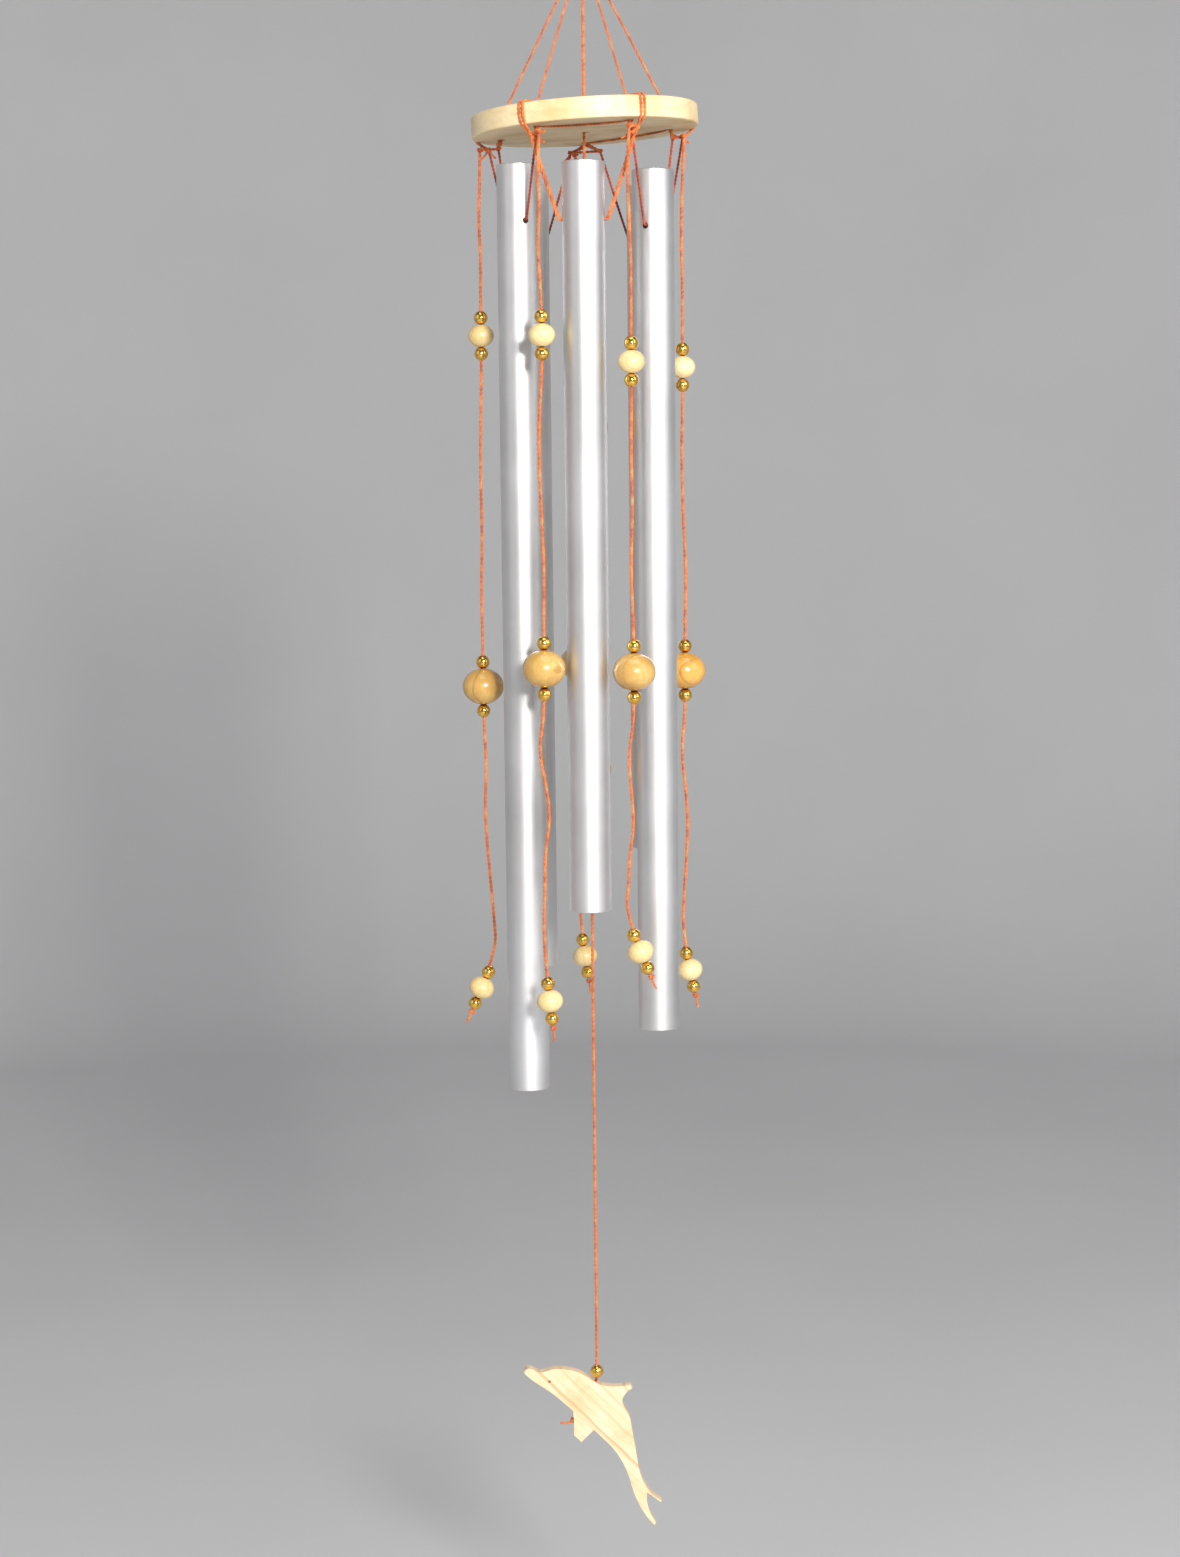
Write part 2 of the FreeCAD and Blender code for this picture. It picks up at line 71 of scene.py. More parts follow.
# The layout, from the disc down
disc = {
    "radius": 60 * mm, "thickness": 11 * mm, "top": -111.9 * mm, "tilt": 3.0, "edgeRound": 1.2 * mm,
    "anchorInset": 14 * mm, "anchorHole": 2.6 * mm, "centreHole": 2 * mm,
}
anchors = {"left": -104.0, "front_left": -32.0, "front_right": 29.5, "right": 104.0, "back": 180.0}
lashing = {
    "cord": 1.5 * mm, "offWood": 0.1 * mm, "holeIn": 13 * mm, "spread": 1.1 * mm, "bend": 1.6 * mm,
    "knotDrop": 4.2 * mm, "outer": 6.5 * mm, "inner": 12 * mm, "back": 8 * mm, "tail": 1.2 * mm,
}
discTop = Vector((0, 0, disc["top"]))
underside = disc["top"] - disc["thickness"]


def around(angle, radius):
    turn = math.radians(angle)
    return Vector((radius * math.sin(turn), -radius * math.cos(turn), 0))


def onDisc(place, below):
    # a place on the level disc, turned with the disc's tilt
    level = Vector((place.x, place.y, disc["top"] - below)) - discTop
    return discTop + Matrix.Rotation(math.radians(-disc["tilt"]), 3, "Y") @ level


def knotAt(anchor, which):
    angle = anchors[anchor]
    if anchor == "back":
        side = lashing["back"] if which == "outer" else -lashing["back"]
        place = around(angle, disc["radius"] - lashing["back"]) + around(angle + 90, side)
    else:
        place = around(angle, disc["radius"] - lashing[which])
    return onDisc(place, disc["thickness"] + lashing["knotDrop"])


def boxMiddle(node):
    low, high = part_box(node)
    return (Vector(low) + Vector(high)) / 2


def link(name, mesh, body, materials, replaced=()):
    piece = bpy.data.objects.new(name, mesh)
    scene.collection.objects.link(piece)
    mesh.materials.clear()
    for material in materials:
        mesh.materials.append(material)
    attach(piece, body)
    if replaced:
        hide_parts(*replaced)
    return piece


def meshOf(bm, name):
    mesh = bpy.data.meshes.new(name)
    bm.to_mesh(mesh)
    bm.free()
    return mesh


# Shader groups and materials
def newGroup(name, inputs, outputs):
    group = bpy.data.node_groups.new(name, "ShaderNodeTree")
    for label, kind, value in inputs:
        socket = group.interface.new_socket(label, in_out="INPUT", socket_type=kind)
        if value is not None:
            socket.default_value = value
    for label, kind in outputs:
        group.interface.new_socket(label, in_out="OUTPUT", socket_type=kind)
    nodes = group.nodes
    return group, nodes.new("NodeGroupInput"), nodes.new("NodeGroupOutput")


def addNode(tree, kind, values=None, **settings):
    node = tree.nodes.new(kind)
    for key, value in settings.items():
        setattr(node, key, value)
    for key, value in (values or {}).items():
        node.inputs[key].default_value = value
    return node


def ramp(tree, source, stops):
    node = tree.nodes.new("ShaderNodeValToRGB")
    elements = node.color_ramp.elements
    while len(elements) < len(stops):
        elements.new(0.5)
    for element, (place, colour) in zip(elements, stops):
        element.position = place
        element.color = (*colour, 1)
    tree.links.new(source, node.inputs[0])
    return node.outputs[0]


def mixed(tree, factor, first, second, blend="MIX"):
    node = tree.nodes.new("ShaderNodeMix")
    node.data_type = "RGBA"
    node.blend_type = blend
    for socket, value in ((node.inputs[0], factor), (node.inputs[6], first), (node.inputs[7], second)):
        if isinstance(value, bpy.types.NodeSocket):
            tree.links.new(value, socket)
        else:
            socket.default_value = value if isinstance(value, float) else (*value, 1)
    return node.outputs[2]


def remap(tree, source, low, high, toLow, toHigh):
    node = addNode(tree, "ShaderNodeMapRange", {1: low, 2: high, 3: toLow, 4: toHigh})
    tree.links.new(source, node.inputs[0])
    return node.outputs[0]


def woodGroup():
    # growth rings, fibres and pores in a solid block: rings vary along X, fibres run along Z
    inputs = [("Vector", "NodeSocketVector", None), ("Ring Spacing", "NodeSocketFloat", 0.006),
              ("Warp", "NodeSocketFloat", 0.15), ("Fibre Scale", "NodeSocketFloat", 900.0)]
    outputs = [(label, "NodeSocketFloat") for label in ("Rings", "Fibres", "Pores", "Patches")]
    group, source, out = newGroup("woodGrain", inputs, outputs)
    join = group.links.new
    warp = addNode(group, "ShaderNodeTexNoise", {"Scale": 45.0, "Detail": 2.0})
    join(source.outputs["Vector"], warp.inputs["Vector"])
    parts = addNode(group, "ShaderNodeSeparateXYZ")
    join(source.outputs["Vector"], parts.inputs[0])
    across = addNode(group, "ShaderNodeMath", operation="DIVIDE")
    join(parts.outputs["X"], across.inputs[0])
    join(source.outputs["Ring Spacing"], across.inputs[1])
    push = addNode(group, "ShaderNodeMath", operation="MULTIPLY")
    join(warp.outputs["Fac"], push.inputs[0])
    join(source.outputs["Warp"], push.inputs[1])
    moved = addNode(group, "ShaderNodeMath", operation="ADD")
    join(across.outputs[0], moved.inputs[0])
    join(push.outputs[0], moved.inputs[1])
    saw = addNode(group, "ShaderNodeMath", operation="FRACT")
    join(moved.outputs[0], saw.inputs[0])
    ring = addNode(group, "ShaderNodeMapRange", {1: 0.72, 2: 0.97, 3: 0.0, 4: 1.0},
                   interpolation_type="SMOOTHSTEP")
    join(saw.outputs[0], ring.inputs[0])
    fall = addNode(group, "ShaderNodeMapRange", {1: 0.97, 2: 1.0, 3: 1.0, 4: 0.0},
                   interpolation_type="SMOOTHSTEP")
    join(saw.outputs[0], fall.inputs[0])
    line = addNode(group, "ShaderNodeMath", operation="MULTIPLY")
    join(ring.outputs[0], line.inputs[0])
    join(fall.outputs[0], line.inputs[1])
    stretch = addNode(group, "ShaderNodeMapping")
    stretch.inputs["Scale"].default_value = (1.0, 1.0, 0.06)
    join(source.outputs["Vector"], stretch.inputs["Vector"])
    fade = addNode(group, "ShaderNodeTexNoise", {"Scale": 75.0, "Detail": 1.0})
    join(stretch.outputs[0], fade.inputs["Vector"])
    strength = addNode(group, "ShaderNodeMapRange", {1: 0.38, 2: 0.62, 3: 0.25, 4: 1.0})
    join(fade.outputs["Fac"], strength.inputs[0])
    faded = addNode(group, "ShaderNodeMath", operation="MULTIPLY")
    join(line.outputs[0], faded.inputs[0])
    join(strength.outputs[0], faded.inputs[1])
    join(faded.outputs[0], out.inputs["Rings"])
    fibre = addNode(group, "ShaderNodeTexNoise", {"Detail": 3.0, "Roughness": 0.6})
    join(stretch.outputs[0], fibre.inputs["Vector"])
    join(source.outputs["Fibre Scale"], fibre.inputs["Scale"])
    join(fibre.outputs["Fac"], out.inputs["Fibres"])
    pore = addNode(group, "ShaderNodeTexNoise", {"Scale": 2600.0, "Detail": 1.0})
    join(stretch.outputs[0], pore.inputs["Vector"])
    dots = addNode(group, "ShaderNodeMapRange", {1: 0.62, 2: 0.72, 3: 0.0, 4: 1.0})
    join(pore.outputs["Fac"], dots.inputs[0])
    join(dots.outputs[0], out.inputs["Pores"])
    patch = addNode(group, "ShaderNodeTexNoise", {"Scale": 38.0, "Detail": 3.0, "Roughness": 0.55})
    join(source.outputs["Vector"], patch.inputs["Vector"])
    join(patch.outputs["Fac"], out.inputs["Patches"])
    return group


def newMaterial(name, constants):
    material = bpy.data.materials.new(name)
    material.use_nodes = True
    tree = material.node_tree
    shader = tree.nodes["Principled BSDF"]
    for key, value in constants.items():
        shader.inputs[key].default_value = value
    return material, tree, shader


def bumped(tree, shader, height, strength, distance):
    bump = addNode(tree, "ShaderNodeBump", {"Strength": strength, "Distance": distance})
    tree.links.new(height, bump.inputs["Height"])
    tree.links.new(bump.outputs[0], shader.inputs["Normal"])


def woodMaterial(name, look):
    constants = {"Coat Weight": look["coat"], "Coat Roughness": look["coatRough"]}
    material, tree, shader = newMaterial(name, constants)
    join = tree.links.new
    if look.get("attribute"):
        place = addNode(tree, "ShaderNodeAttribute", attribute_name=look["attribute"]).outputs["Vector"]
    else:
        place = addNode(tree, "ShaderNodeTexCoord").outputs["Object"]
    mapping = addNode(tree, "ShaderNodeMapping")
    mapping.inputs["Rotation"].default_value = [math.radians(turn) for turn in look["turn"]]
    mapping.inputs["Location"].default_value = look["shift"]
    join(place, mapping.inputs["Vector"])
    grain = tree.nodes.new("ShaderNodeGroup")
    grain.node_tree = bpy.data.node_groups["woodGrain"]
    join(mapping.outputs[0], grain.inputs["Vector"])
    grain.inputs["Ring Spacing"].default_value = look["ringSpacing"]
    grain.inputs["Warp"].default_value = look["warp"]
    grain.inputs["Fibre Scale"].default_value = look["fibreScale"]
    stops = [(0.34, look["dark"]), (0.5, look["middle"]), (0.68, look["light"])]
    base = ramp(tree, grain.outputs["Patches"], stops)
    lines = mixed(tree, remap(tree, grain.outputs["Rings"], 0, 1, 0, look["ringDepth"]), base, look["ring"])
    streaks = remap(tree, grain.outputs["Fibres"], 0.35, 0.7, 0, look["fibreDepth"])
    fine = mixed(tree, streaks, lines, look["fibre"])
    pored = mixed(tree, remap(tree, grain.outputs["Pores"], 0, 1, 0, look["poreDepth"]), fine, look["ring"])
    join(pored, shader.inputs["Base Color"])
    join(remap(tree, grain.outputs["Fibres"], 0.3, 0.7, *look["rough"]), shader.inputs["Roughness"])
    bumped(tree, shader, grain.outputs["Fibres"], look["bump"], 0.2 * mm)
    return material


def cordMaterial(name, look):
    material, tree, shader = newMaterial(name, {"Sheen Weight": 0.1, "Sheen Roughness": 0.4})
    join = tree.links.new
    place = addNode(tree, "ShaderNodeTexCoord").outputs["Object"]
    slub = addNode(tree, "ShaderNodeTexNoise", {"Scale": 210.0, "Detail": 2.0})
    hair = addNode(tree, "ShaderNodeTexNoise", {"Scale": 3800.0, "Detail": 2.0, "Roughness": 0.7})
    join(place, slub.inputs["Vector"])
    join(place, hair.inputs["Vector"])
    stops = [(0.35, look["dark"]), (0.55, look["middle"]), (0.75, look["light"])]
    base = ramp(tree, slub.outputs["Fac"], stops)
    fleck = remap(tree, hair.outputs["Fac"], 0.35, 0.75, 0.0, 0.45)
    join(mixed(tree, fleck, base, look["light"]), shader.inputs["Base Color"])
    join(remap(tree, hair.outputs["Fac"], 0.3, 0.7, 0.55, 0.8), shader.inputs["Roughness"])
    bumped(tree, shader, hair.outputs["Fac"], 0.5, 0.12 * mm)
    return material


def metalMaterial(name, look):
    material, tree, shader = newMaterial(name, {"Metallic": 1.0})
    join = tree.links.new
    place = addNode(tree, "ShaderNodeTexCoord").outputs["Object"]
    stretch = addNode(tree, "ShaderNodeMapping")
    stretch.inputs["Scale"].default_value = look["stretch"]
    join(place, stretch.inputs["Vector"])
    drawn = addNode(tree, "ShaderNodeTexNoise", {"Scale": look["fineScale"], "Detail": 3.0, "Roughness": 0.6})
    join(stretch.outputs[0], drawn.inputs["Vector"])
    cloud = addNode(tree, "ShaderNodeTexNoise",
                    {"Scale": look["cloudScale"], "Detail": 4.0, "Roughness": 0.6})
    join(place, cloud.inputs["Vector"])
    stops = [(0.32, look["dark"]), (0.55, look["middle"]), (0.75, look["light"])]
    base = ramp(tree, cloud.outputs["Fac"], stops)
    depth = remap(tree, drawn.outputs["Fac"], 0.3, 0.7, 0.0, look["lineDepth"])
    join(mixed(tree, depth, base, look["dark"]), shader.inputs["Base Color"])
    join(remap(tree, cloud.outputs["Fac"], 0.3, 0.7, *look["rough"]), shader.inputs["Roughness"])
    bumped(tree, shader, drawn.outputs["Fac"], look["bump"], 0.1 * mm)
    return material


woodGroup()
discWood = woodMaterial("discWood", {
    "turn": (0, 90, 12), "shift": (0, 0, 0), "ringSpacing": 0.011, "warp": 0.9, "fibreScale": 650.0,
    "dark": (0.72, 0.5, 0.24), "middle": (0.87, 0.7, 0.42), "light": (0.92, 0.79, 0.53),
    "ring": (0.55, 0.32, 0.13), "ringDepth": 0.35, "fibre": (0.74, 0.54, 0.28), "fibreDepth": 0.5,
    "poreDepth": 0.35, "rough": (0.5, 0.66), "coat": 0.05, "coatRough": 0.4, "bump": 0.25,
})
smallBeadWood = woodMaterial("smallBeadWood", {
    "attribute": "woodPlace", "turn": (0, 0, 20), "shift": (0, 0, 0), "ringSpacing": 0.0034, "warp": 0.5,
    "fibreScale": 1100.0, "dark": (0.7, 0.5, 0.2), "middle": (0.84, 0.67, 0.33), "light": (0.9, 0.76, 0.44),
    "ring": (0.5, 0.3, 0.1), "ringDepth": 0.3, "fibre": (0.68, 0.49, 0.2), "fibreDepth": 0.5,
    "poreDepth": 0.6, "rough": (0.34, 0.48), "coat": 0.3, "coatRough": 0.25, "bump": 0.3,
})
largeBead = {
    "attribute": "woodPlace", "turn": (0, 0, 35), "shift": (0, 0, 0), "ringSpacing": 0.0075, "warp": 0.8,
    "fibreScale": 800.0, "dark": (0.5, 0.27, 0.06), "middle": (0.68, 0.42, 0.11), "light": (0.78, 0.54, 0.19),
    "ring": (0.27, 0.11, 0.02), "ringDepth": 0.6, "fibre": (0.48, 0.26, 0.06), "fibreDepth": 0.5,
    "poreDepth": 0.4, "rough": (0.28, 0.42), "coat": 0.9, "coatRough": 0.08, "bump": 0.15,
}
largeBeadWood = woodMaterial("largeBeadWood", largeBead)
amberBeadWood = woodMaterial("amberBeadWood", largeBead | {
    "dark": (0.58, 0.25, 0.03), "middle": (0.74, 0.38, 0.06), "light": (0.82, 0.48, 0.1),
})
dolphinWood = woodMaterial("dolphinWood", {
    "turn": (0, 45, 0), "shift": (0.0055, 0.031, 0), "ringSpacing": 0.0092, "warp": 0.35, "fibreScale": 700.0,
    "dark": (0.76, 0.55, 0.31), "middle": (0.86, 0.69, 0.46), "light": (0.9, 0.76, 0.54),
    "ring": (0.52, 0.24, 0.07), "ringDepth": 0.75, "fibre": (0.74, 0.5, 0.26), "fibreDepth": 0.6,
    "poreDepth": 0.2, "rough": (0.5, 0.64), "coat": 0.05, "coatRough": 0.4, "bump": 0.2,
})
orangeCord = cordMaterial("orangeCord", {"dark": (0.42, 0.06, 0.008), "middle": (0.66, 0.17, 0.035),
                                         "light": (0.86, 0.31, 0.095)})
# a darker copy of the orange cord, with painted shade in its colour, used for the thin slings and the
# dolphin's cord
paintedShadeCord = cordMaterial("paintedShadeCord", {"dark": (0.2, 0.016, 0.004), "middle": (0.38, 0.045, 0.01),
                                     "light": (0.55, 0.1, 0.025)})
cordTip = cordMaterial("cordTip", {"dark": (0.62, 0.3, 0.1), "middle": (0.8, 0.48, 0.2),
                                   "light": (0.9, 0.66, 0.36)})
tubeMetal = metalMaterial("tubeMetal", {
    "stretch": (1, 1, 0.02), "fineScale": 1500.0, "cloudScale": 14.0, "lineDepth": 0.25, "bump": 0.06,
    "dark": (0.66, 0.66, 0.66), "middle": (0.74, 0.74, 0.75), "light": (0.79, 0.8, 0.82),
    "rough": (0.44, 0.5),
})
beadBrass = metalMaterial("beadBrass", {
    "stretch": (1, 1, 1), "fineScale": 900.0, "cloudScale": 320.0, "lineDepth": 0.3, "bump": 0.03,
    "dark": (0.7, 0.36, 0.05), "middle": (0.95, 0.62, 0.14), "light": (1.0, 0.76, 0.26),
    "rough": (0.1, 0.2),
})
ringBrass = metalMaterial("ringBrass", {
    "stretch": (1, 1, 1), "fineScale": 1200.0, "cloudScale": 240.0, "lineDepth": 0.35, "bump": 0.08,
    "dark": (0.45, 0.22, 0.05), "middle": (0.74, 0.46, 0.13), "light": (0.84, 0.58, 0.22),
    "rough": (0.18, 0.32),
})
print("materials made")

# Twisted cords
twist = {"plies": 2, "plyOffset": 0.25, "plyPress": 1.12, "pitchPerDiameter": 2.9, "stepsPerPitch": 10,
         "roundness": 2}
knotShape = {"steps": 48, "rise": 1.05}
tailShape = {"sag": 0.15, "tipIn": 0.2, "tipOut": 0.25, "tipRadius": 0.42}


def routeLine(points, closed=False):
    # the line of a smooth spline through a route, read back from the spline itself
    data = bpy.data.curves.new("route", "CURVE")
    data.dimensions = "3D"
    data.resolution_u = 16
    spline = data.splines.new("NURBS")
    spline.points.add(len(points) - 1)
    for point, place in zip(spline.points, points):
        point.co = (*place, 1)
    spline.use_cyclic_u = closed
    spline.order_u = 3
    spline.use_endpoint_u = not closed
    holder = bpy.data.objects.new("route", data)
    mesh = bpy.data.meshes.new_from_object(holder)
    line = [vertex.co.copy() for vertex in mesh.vertices]
    bpy.data.meshes.remove(mesh)
    bpy.data.objects.remove(holder)
    bpy.data.curves.remove(data)
    return line + [line[0]] if closed else line


def evenly(line, step):
    # the same line, in even steps
    lengths = [(after - before).length for before, after in zip(line, line[1:])]
    count = max(2, round(sum(lengths) / step))
    step = sum(lengths) / count
    places, walked, index = [line[0].copy()], 0.0, 0
    for number in range(1, count):
        while walked + lengths[index] < number * step:
            walked += lengths[index]
            index += 1
        places.append(line[index].lerp(line[index + 1], (number * step - walked) / lengths[index]))
    return places + [line[-1].copy()]


def addTwisted(bm, line, diameter, material=0):
    # two plies wound round each other along a line
    pitch = diameter * twist["pitchPerDiameter"]
    places = evenly(line, pitch / twist["stepsPerPitch"])
    ply = diameter * twist["plyOffset"]
    side = (places[1] - places[0]).orthogonal().normalized()
    turnPerStep = 2 * math.pi / twist["stepsPerPitch"]
    paths = [[] for number in range(twist["plies"])]
    for number, place in enumerate(places):
        ahead = places[min(number + 1, len(places) - 1)] - places[max(number - 1, 0)]
        ahead.normalize()
        side = (side - ahead * side.dot(ahead)).normalized()
        other = ahead.cross(side)
        for which, path in enumerate(paths):
            turn = number * turnPerStep + 2 * math.pi * which / twist["plies"]
            path.append(place + (side * math.cos(turn) + other * math.sin(turn)) * ply)
    for path in paths:
        addRound(bm, path, ply * twist["plyPress"], material)


def addRound(bm, path, radius, material=0):
    # a round thread along a path, added to a bmesh
    data = bpy.data.curves.new("thread", "CURVE")
    data.dimensions = "3D"
    data.bevel_depth = radius
    data.bevel_resolution = twist["roundness"]
    data.use_fill_caps = True
    spline = data.splines.new("POLY")
    spline.points.add(len(path) - 1)
    for point, place in zip(spline.points, path):
        point.co = (*place, 1)
    holder = bpy.data.objects.new("thread", data)
    mesh = bpy.data.meshes.new_from_object(holder)
    first = len(bm.faces)
    bm.from_mesh(mesh)
    bm.faces.ensure_lookup_table()
    for face in bm.faces[first:]:
        face.smooth = True
        face.material_index = material
    bpy.data.meshes.remove(mesh)
    bpy.data.objects.remove(holder)
    bpy.data.curves.remove(data)


def addKnot(bm, centre, radius, diameter, axis=(0, 0, 1), turn=0.0, material=0):
    # an overhand knot pulled tight, as large as a ball
    scale = (radius - diameter / 2) / 3
    rise = diameter / 2 * knotShape["rise"]
    tip = Vector((0, 0, 1)).rotation_difference(Vector(axis)).to_matrix() @ Matrix.Rotation(turn, 3, "Z")
    line = []
    for number in range(knotShape["steps"] + 1):
        t = 2 * math.pi * number / knotShape["steps"]
        x = (math.sin(t) + 2 * math.sin(2 * t)) * scale
        y = (math.cos(t) - 2 * math.cos(2 * t)) * scale
        line.append(Vector(centre) + tip @ Vector((x, y, -math.sin(3 * t) * rise)))
    addTwisted(bm, line, diameter, material)


def addTail(bm, start, end, diameter):
    # a cut end, with its pale tip
    middle = (start + end) / 2 + Vector((0, 0, -tailShape["sag"] * (end - start).length))
    line = routeLine([start, middle, end])
    addTwisted(bm, line, diameter, 0)
    ahead = (line[-1] - line[-2]).normalized()
    tip = [line[-1] - ahead * diameter * tailShape["tipIn"], line[-1] + ahead * diameter * tailShape["tipOut"]]
    addRound(bm, tip, diameter * tailShape["tipRadius"], 1)


# The beaded strands: hanging place, last lean, and each cord's points as (drop, sideways, back) in mm
strandCord = 1.7 * mm
groupReach = 21  # mm, from a group's middle down to the cord's next point
endKnot = {"down": 1.6 * mm, "radius": 2.1 * mm, "cord": 1.1 * mm, "turn": 0.4, "tailFrom": 2.2 * mm,
           "tailTo": 8.1 * mm, "tail": 1.3 * mm}
frontX = boxMiddle("tube_front").x
strands = {
    "left": {
        "place": around(-102.0, 57.8 * mm), "groups": (105.0, 294.0, 461.0), "lean": -24.0,
        "points": [
            (24, 0.5, 0.2), (44, -0.4, -0.3), (64, 0.4, 0.2), (86, 0, 0), (124, 0, 0), (148, -0.8, 0.4),
            (178, -1.4, -0.2), (210, -0.9, 0.3), (242, -1.9, 0), (271, -1.6, 0), (317, -1.6, 0),
            (338, -0.4, 0.5),
            (360, -1.8, -0.3), (382, -0.7, 0.4), (402, 0.9, 0), (421, 2.4, -0.2), (442, 3.6, 0),
        ],
    },
    "front_left": {
        "x": -23.0 * mm, "reach": 57.9 * mm, "groups": (108.0, 280.0, 456.0), "lean": 6.0,
        "points": [
            (24, -0.5, -0.2), (42, 0.5, 0.3), (64, -0.7, 0), (89, 0.8, 0), (127, 0.8, 0),
            (148, -0.9, 0.3),
            (172, -1.3, -0.2), (200, -0.4, 0.2), (228, 0.7, 0), (257, 0, 0), (303, 0, 0),
            (322, -3.4, 0.4),
            (341, 0.2, -0.5), (358, 2.3, 0.2), (376, -0.6, 0.4), (395, -0.9, -0.3),
            (414, -2.0, 0), (436, -1.2, 0),
        ],
    },
    "front_right": {
        "x": 23.0 * mm, "reach": 57.7 * mm, "groups": (122.0, 282.0, 430.0), "lean": 22.0,
        "points": [
            (24, -0.6, 0.2), (46, 0.3, -0.3), (72, 1.0, 0.2), (103, 0.8, 0), (141, 0.8, 0),
            (168, 0.3, 0.3),
            (198, 0.9, -0.3), (230, -0.4, 0.2), (259, 0.9, 0), (305, 0.9, 0), (325, -2.4, -0.4),
            (344, -1.2, 0.4),
            (362, 0.3, 0), (378, -2.2, 0.3), (394, -3.0, -0.2), (411, -4.6, 0),
        ],
    },
    "right": {
        "place": around(96.5, 52.8 * mm), "groups": (123.0, 286.0, 451.0), "lean": 12.0,
        "points": [
            (30, -0.7, 0.2), (56, -1.3, -0.2), (80, -0.6, 0.2), (104, -1.0, 0), (142, -1.0, 0),
            (168, -1.7, 0.3),
            (200, -1.2, -0.3), (232, 0.2, 0.2), (263, -0.6, 0), (309, -0.6, 0), (330, -3.0, -0.4),
            (350, -0.7, 0.4),
            (368, 0.5, 0), (388, -0.4, 0.3), (408, -1.9, -0.2), (432, -3.0, 0),
        ],
    },
    "back": {
        "place": around(-174.5, 57.3 * mm), "groups": (113.0, 285.0, 452.0), "lean": 8.0,
        "points": [
            (26, -0.4, 0.2), (50, 0.5, -0.3), (72, -0.4, 0.2), (94, 0.3, 0), (132, 0.3, 0),
            (154, -0.7, 0.3),
            (182, 0.6, -0.3), (212, -0.5, 0.2), (240, 0.6, 0), (262, 0.2, 0), (308, 0.2, 0),
            (330, -1.3, 0.4),
            (352, 0.6, -0.4), (374, -0.8, 0.3), (394, 0.4, 0), (414, -0.7, -0.2), (433, -1.4, 0),
        ],
    },
}
beads = {
    "brass": {"radius": 3.7 * mm, "height": 7.4 * mm, "bore": 1.1 * mm},
    "small": {"radius": 7.0 * mm, "height": 12.1 * mm, "bore": 1.5 * mm},
    "large": {"radius": 11.3 * mm, "height": 19.8 * mm, "bore": 2.0 * mm},
    "gap": 0.05 * mm, "mouth": 0.28, "mouthSlope": 1.2, "sideSteps": 24, "turnSteps": 48,
}


def halfHeight(kind):
    return kind["height"] / 2 * math.sqrt(1 - (kind["bore"] / kind["radius"]) ** 2)


def groupHalf(kind):
    return halfHeight(kind) + beads["gap"] + 2 * halfHeight(beads["brass"])


def strandLayout(name):
    # where a strand's groups of beads and its end are
    strand = strands[name]
    if "place" in strand:
        place = strand["place"]
    else:
        side = frontX + strand["x"]
        place = Vector((side, -math.sqrt(strand["reach"] ** 2 - side**2), 0))
    lean = math.radians(strand["lean"])
    last = Vector((math.sin(lean), 0, -math.cos(lean)))
    drops = [drop for drop, sideways, back in strand["points"]]

    def at(drop, sideways, back):
        return Vector((place.x + sideways * mm, place.y + back * mm, underside - drop * mm))

    def groupAt(drop):
        nearest = min(range(len(drops)), key=lambda i: abs(drops[i] - drop - groupReach))
        return at(drop, *strand["points"][nearest][1:])

    small, large, bottom = strand["groups"]
    corner = strand["points"][-1]
    lastCentre = at(*corner) + last * ((bottom - corner[0]) * mm / math.cos(lean))
    end = lastCentre + last * groupHalf(beads["small"])
    knot = onDisc(place, disc["thickness"] + lashing["knotDrop"])
    route = [knot] + [at(*point) for point in strand["points"]] + [end]
    down = Vector((0, 0, -1))
    groups = [(groupAt(small), down, "small"), (groupAt(large), down, "large"), (lastCentre, last, "small")]
    return {"knot": knot, "route": route, "last": last, "end": end, "groups": groups}


layouts = {name: strandLayout(name) for name in strands}


def makeStrandCords():
    for name, layout in layouts.items():
        line = routeLine(layout["route"])
        bm = bmesh.new()
        addTwisted(bm, line, strandCord)
        piece = link(f"strandCord_{name}", meshOf(bm, "strandCord"), f"strand_{name}", [orangeCord],
                     [f"strand_cord_{name}"])
        bm = bmesh.new()
        last, end = layout["last"], layout["end"]
        addKnot(bm, end + last * endKnot["down"], endKnot["radius"], endKnot["cord"], last, endKnot["turn"])
        addTail(bm, end + last * endKnot["tailFrom"], end + last * endKnot["tailTo"], endKnot["tail"])
        knot = link(f"endKnot_{name}", meshOf(bm, "endKnot"), f"strand_{name}", [orangeCord, cordTip],
                    [f"end_knot_{name}"])


# The line down the middle, with the two striker beads
strikers = {
    "pivot": -119.9 * mm, "centres": (-277.8 * mm, -461.6 * mm), "catcherBead": -799.6 * mm, "cord": 1.7 * mm,
    "straight": 10 * mm,
}


def makeCentreCords():
    upper, lower = strikers["centres"]
    upperEnd = upper - groupHalf(beads["large"])
    lowerEnd = strikers["catcherBead"] + halfHeight(beads["brass"])
    runs = {
        "Upper": ("striker_cord_upper", "striker_upper", strikers["pivot"], upperEnd),
        "Lower": ("striker_cord_lower", "striker_lower", upperEnd, lowerEnd),
    }
    for part, (node, body, top, foot) in runs.items():
        line = routeLine([Vector((0, 0, height)) for height in (top, top - strikers["straight"], foot)])
        bm = bmesh.new()
        addTwisted(bm, line, strikers["cord"])
        name = f"strikerCord{part}"
        piece = link(name, meshOf(bm, name), body, [orangeCord], [node])


makeStrandCords()
makeCentreCords()
print("cords made")


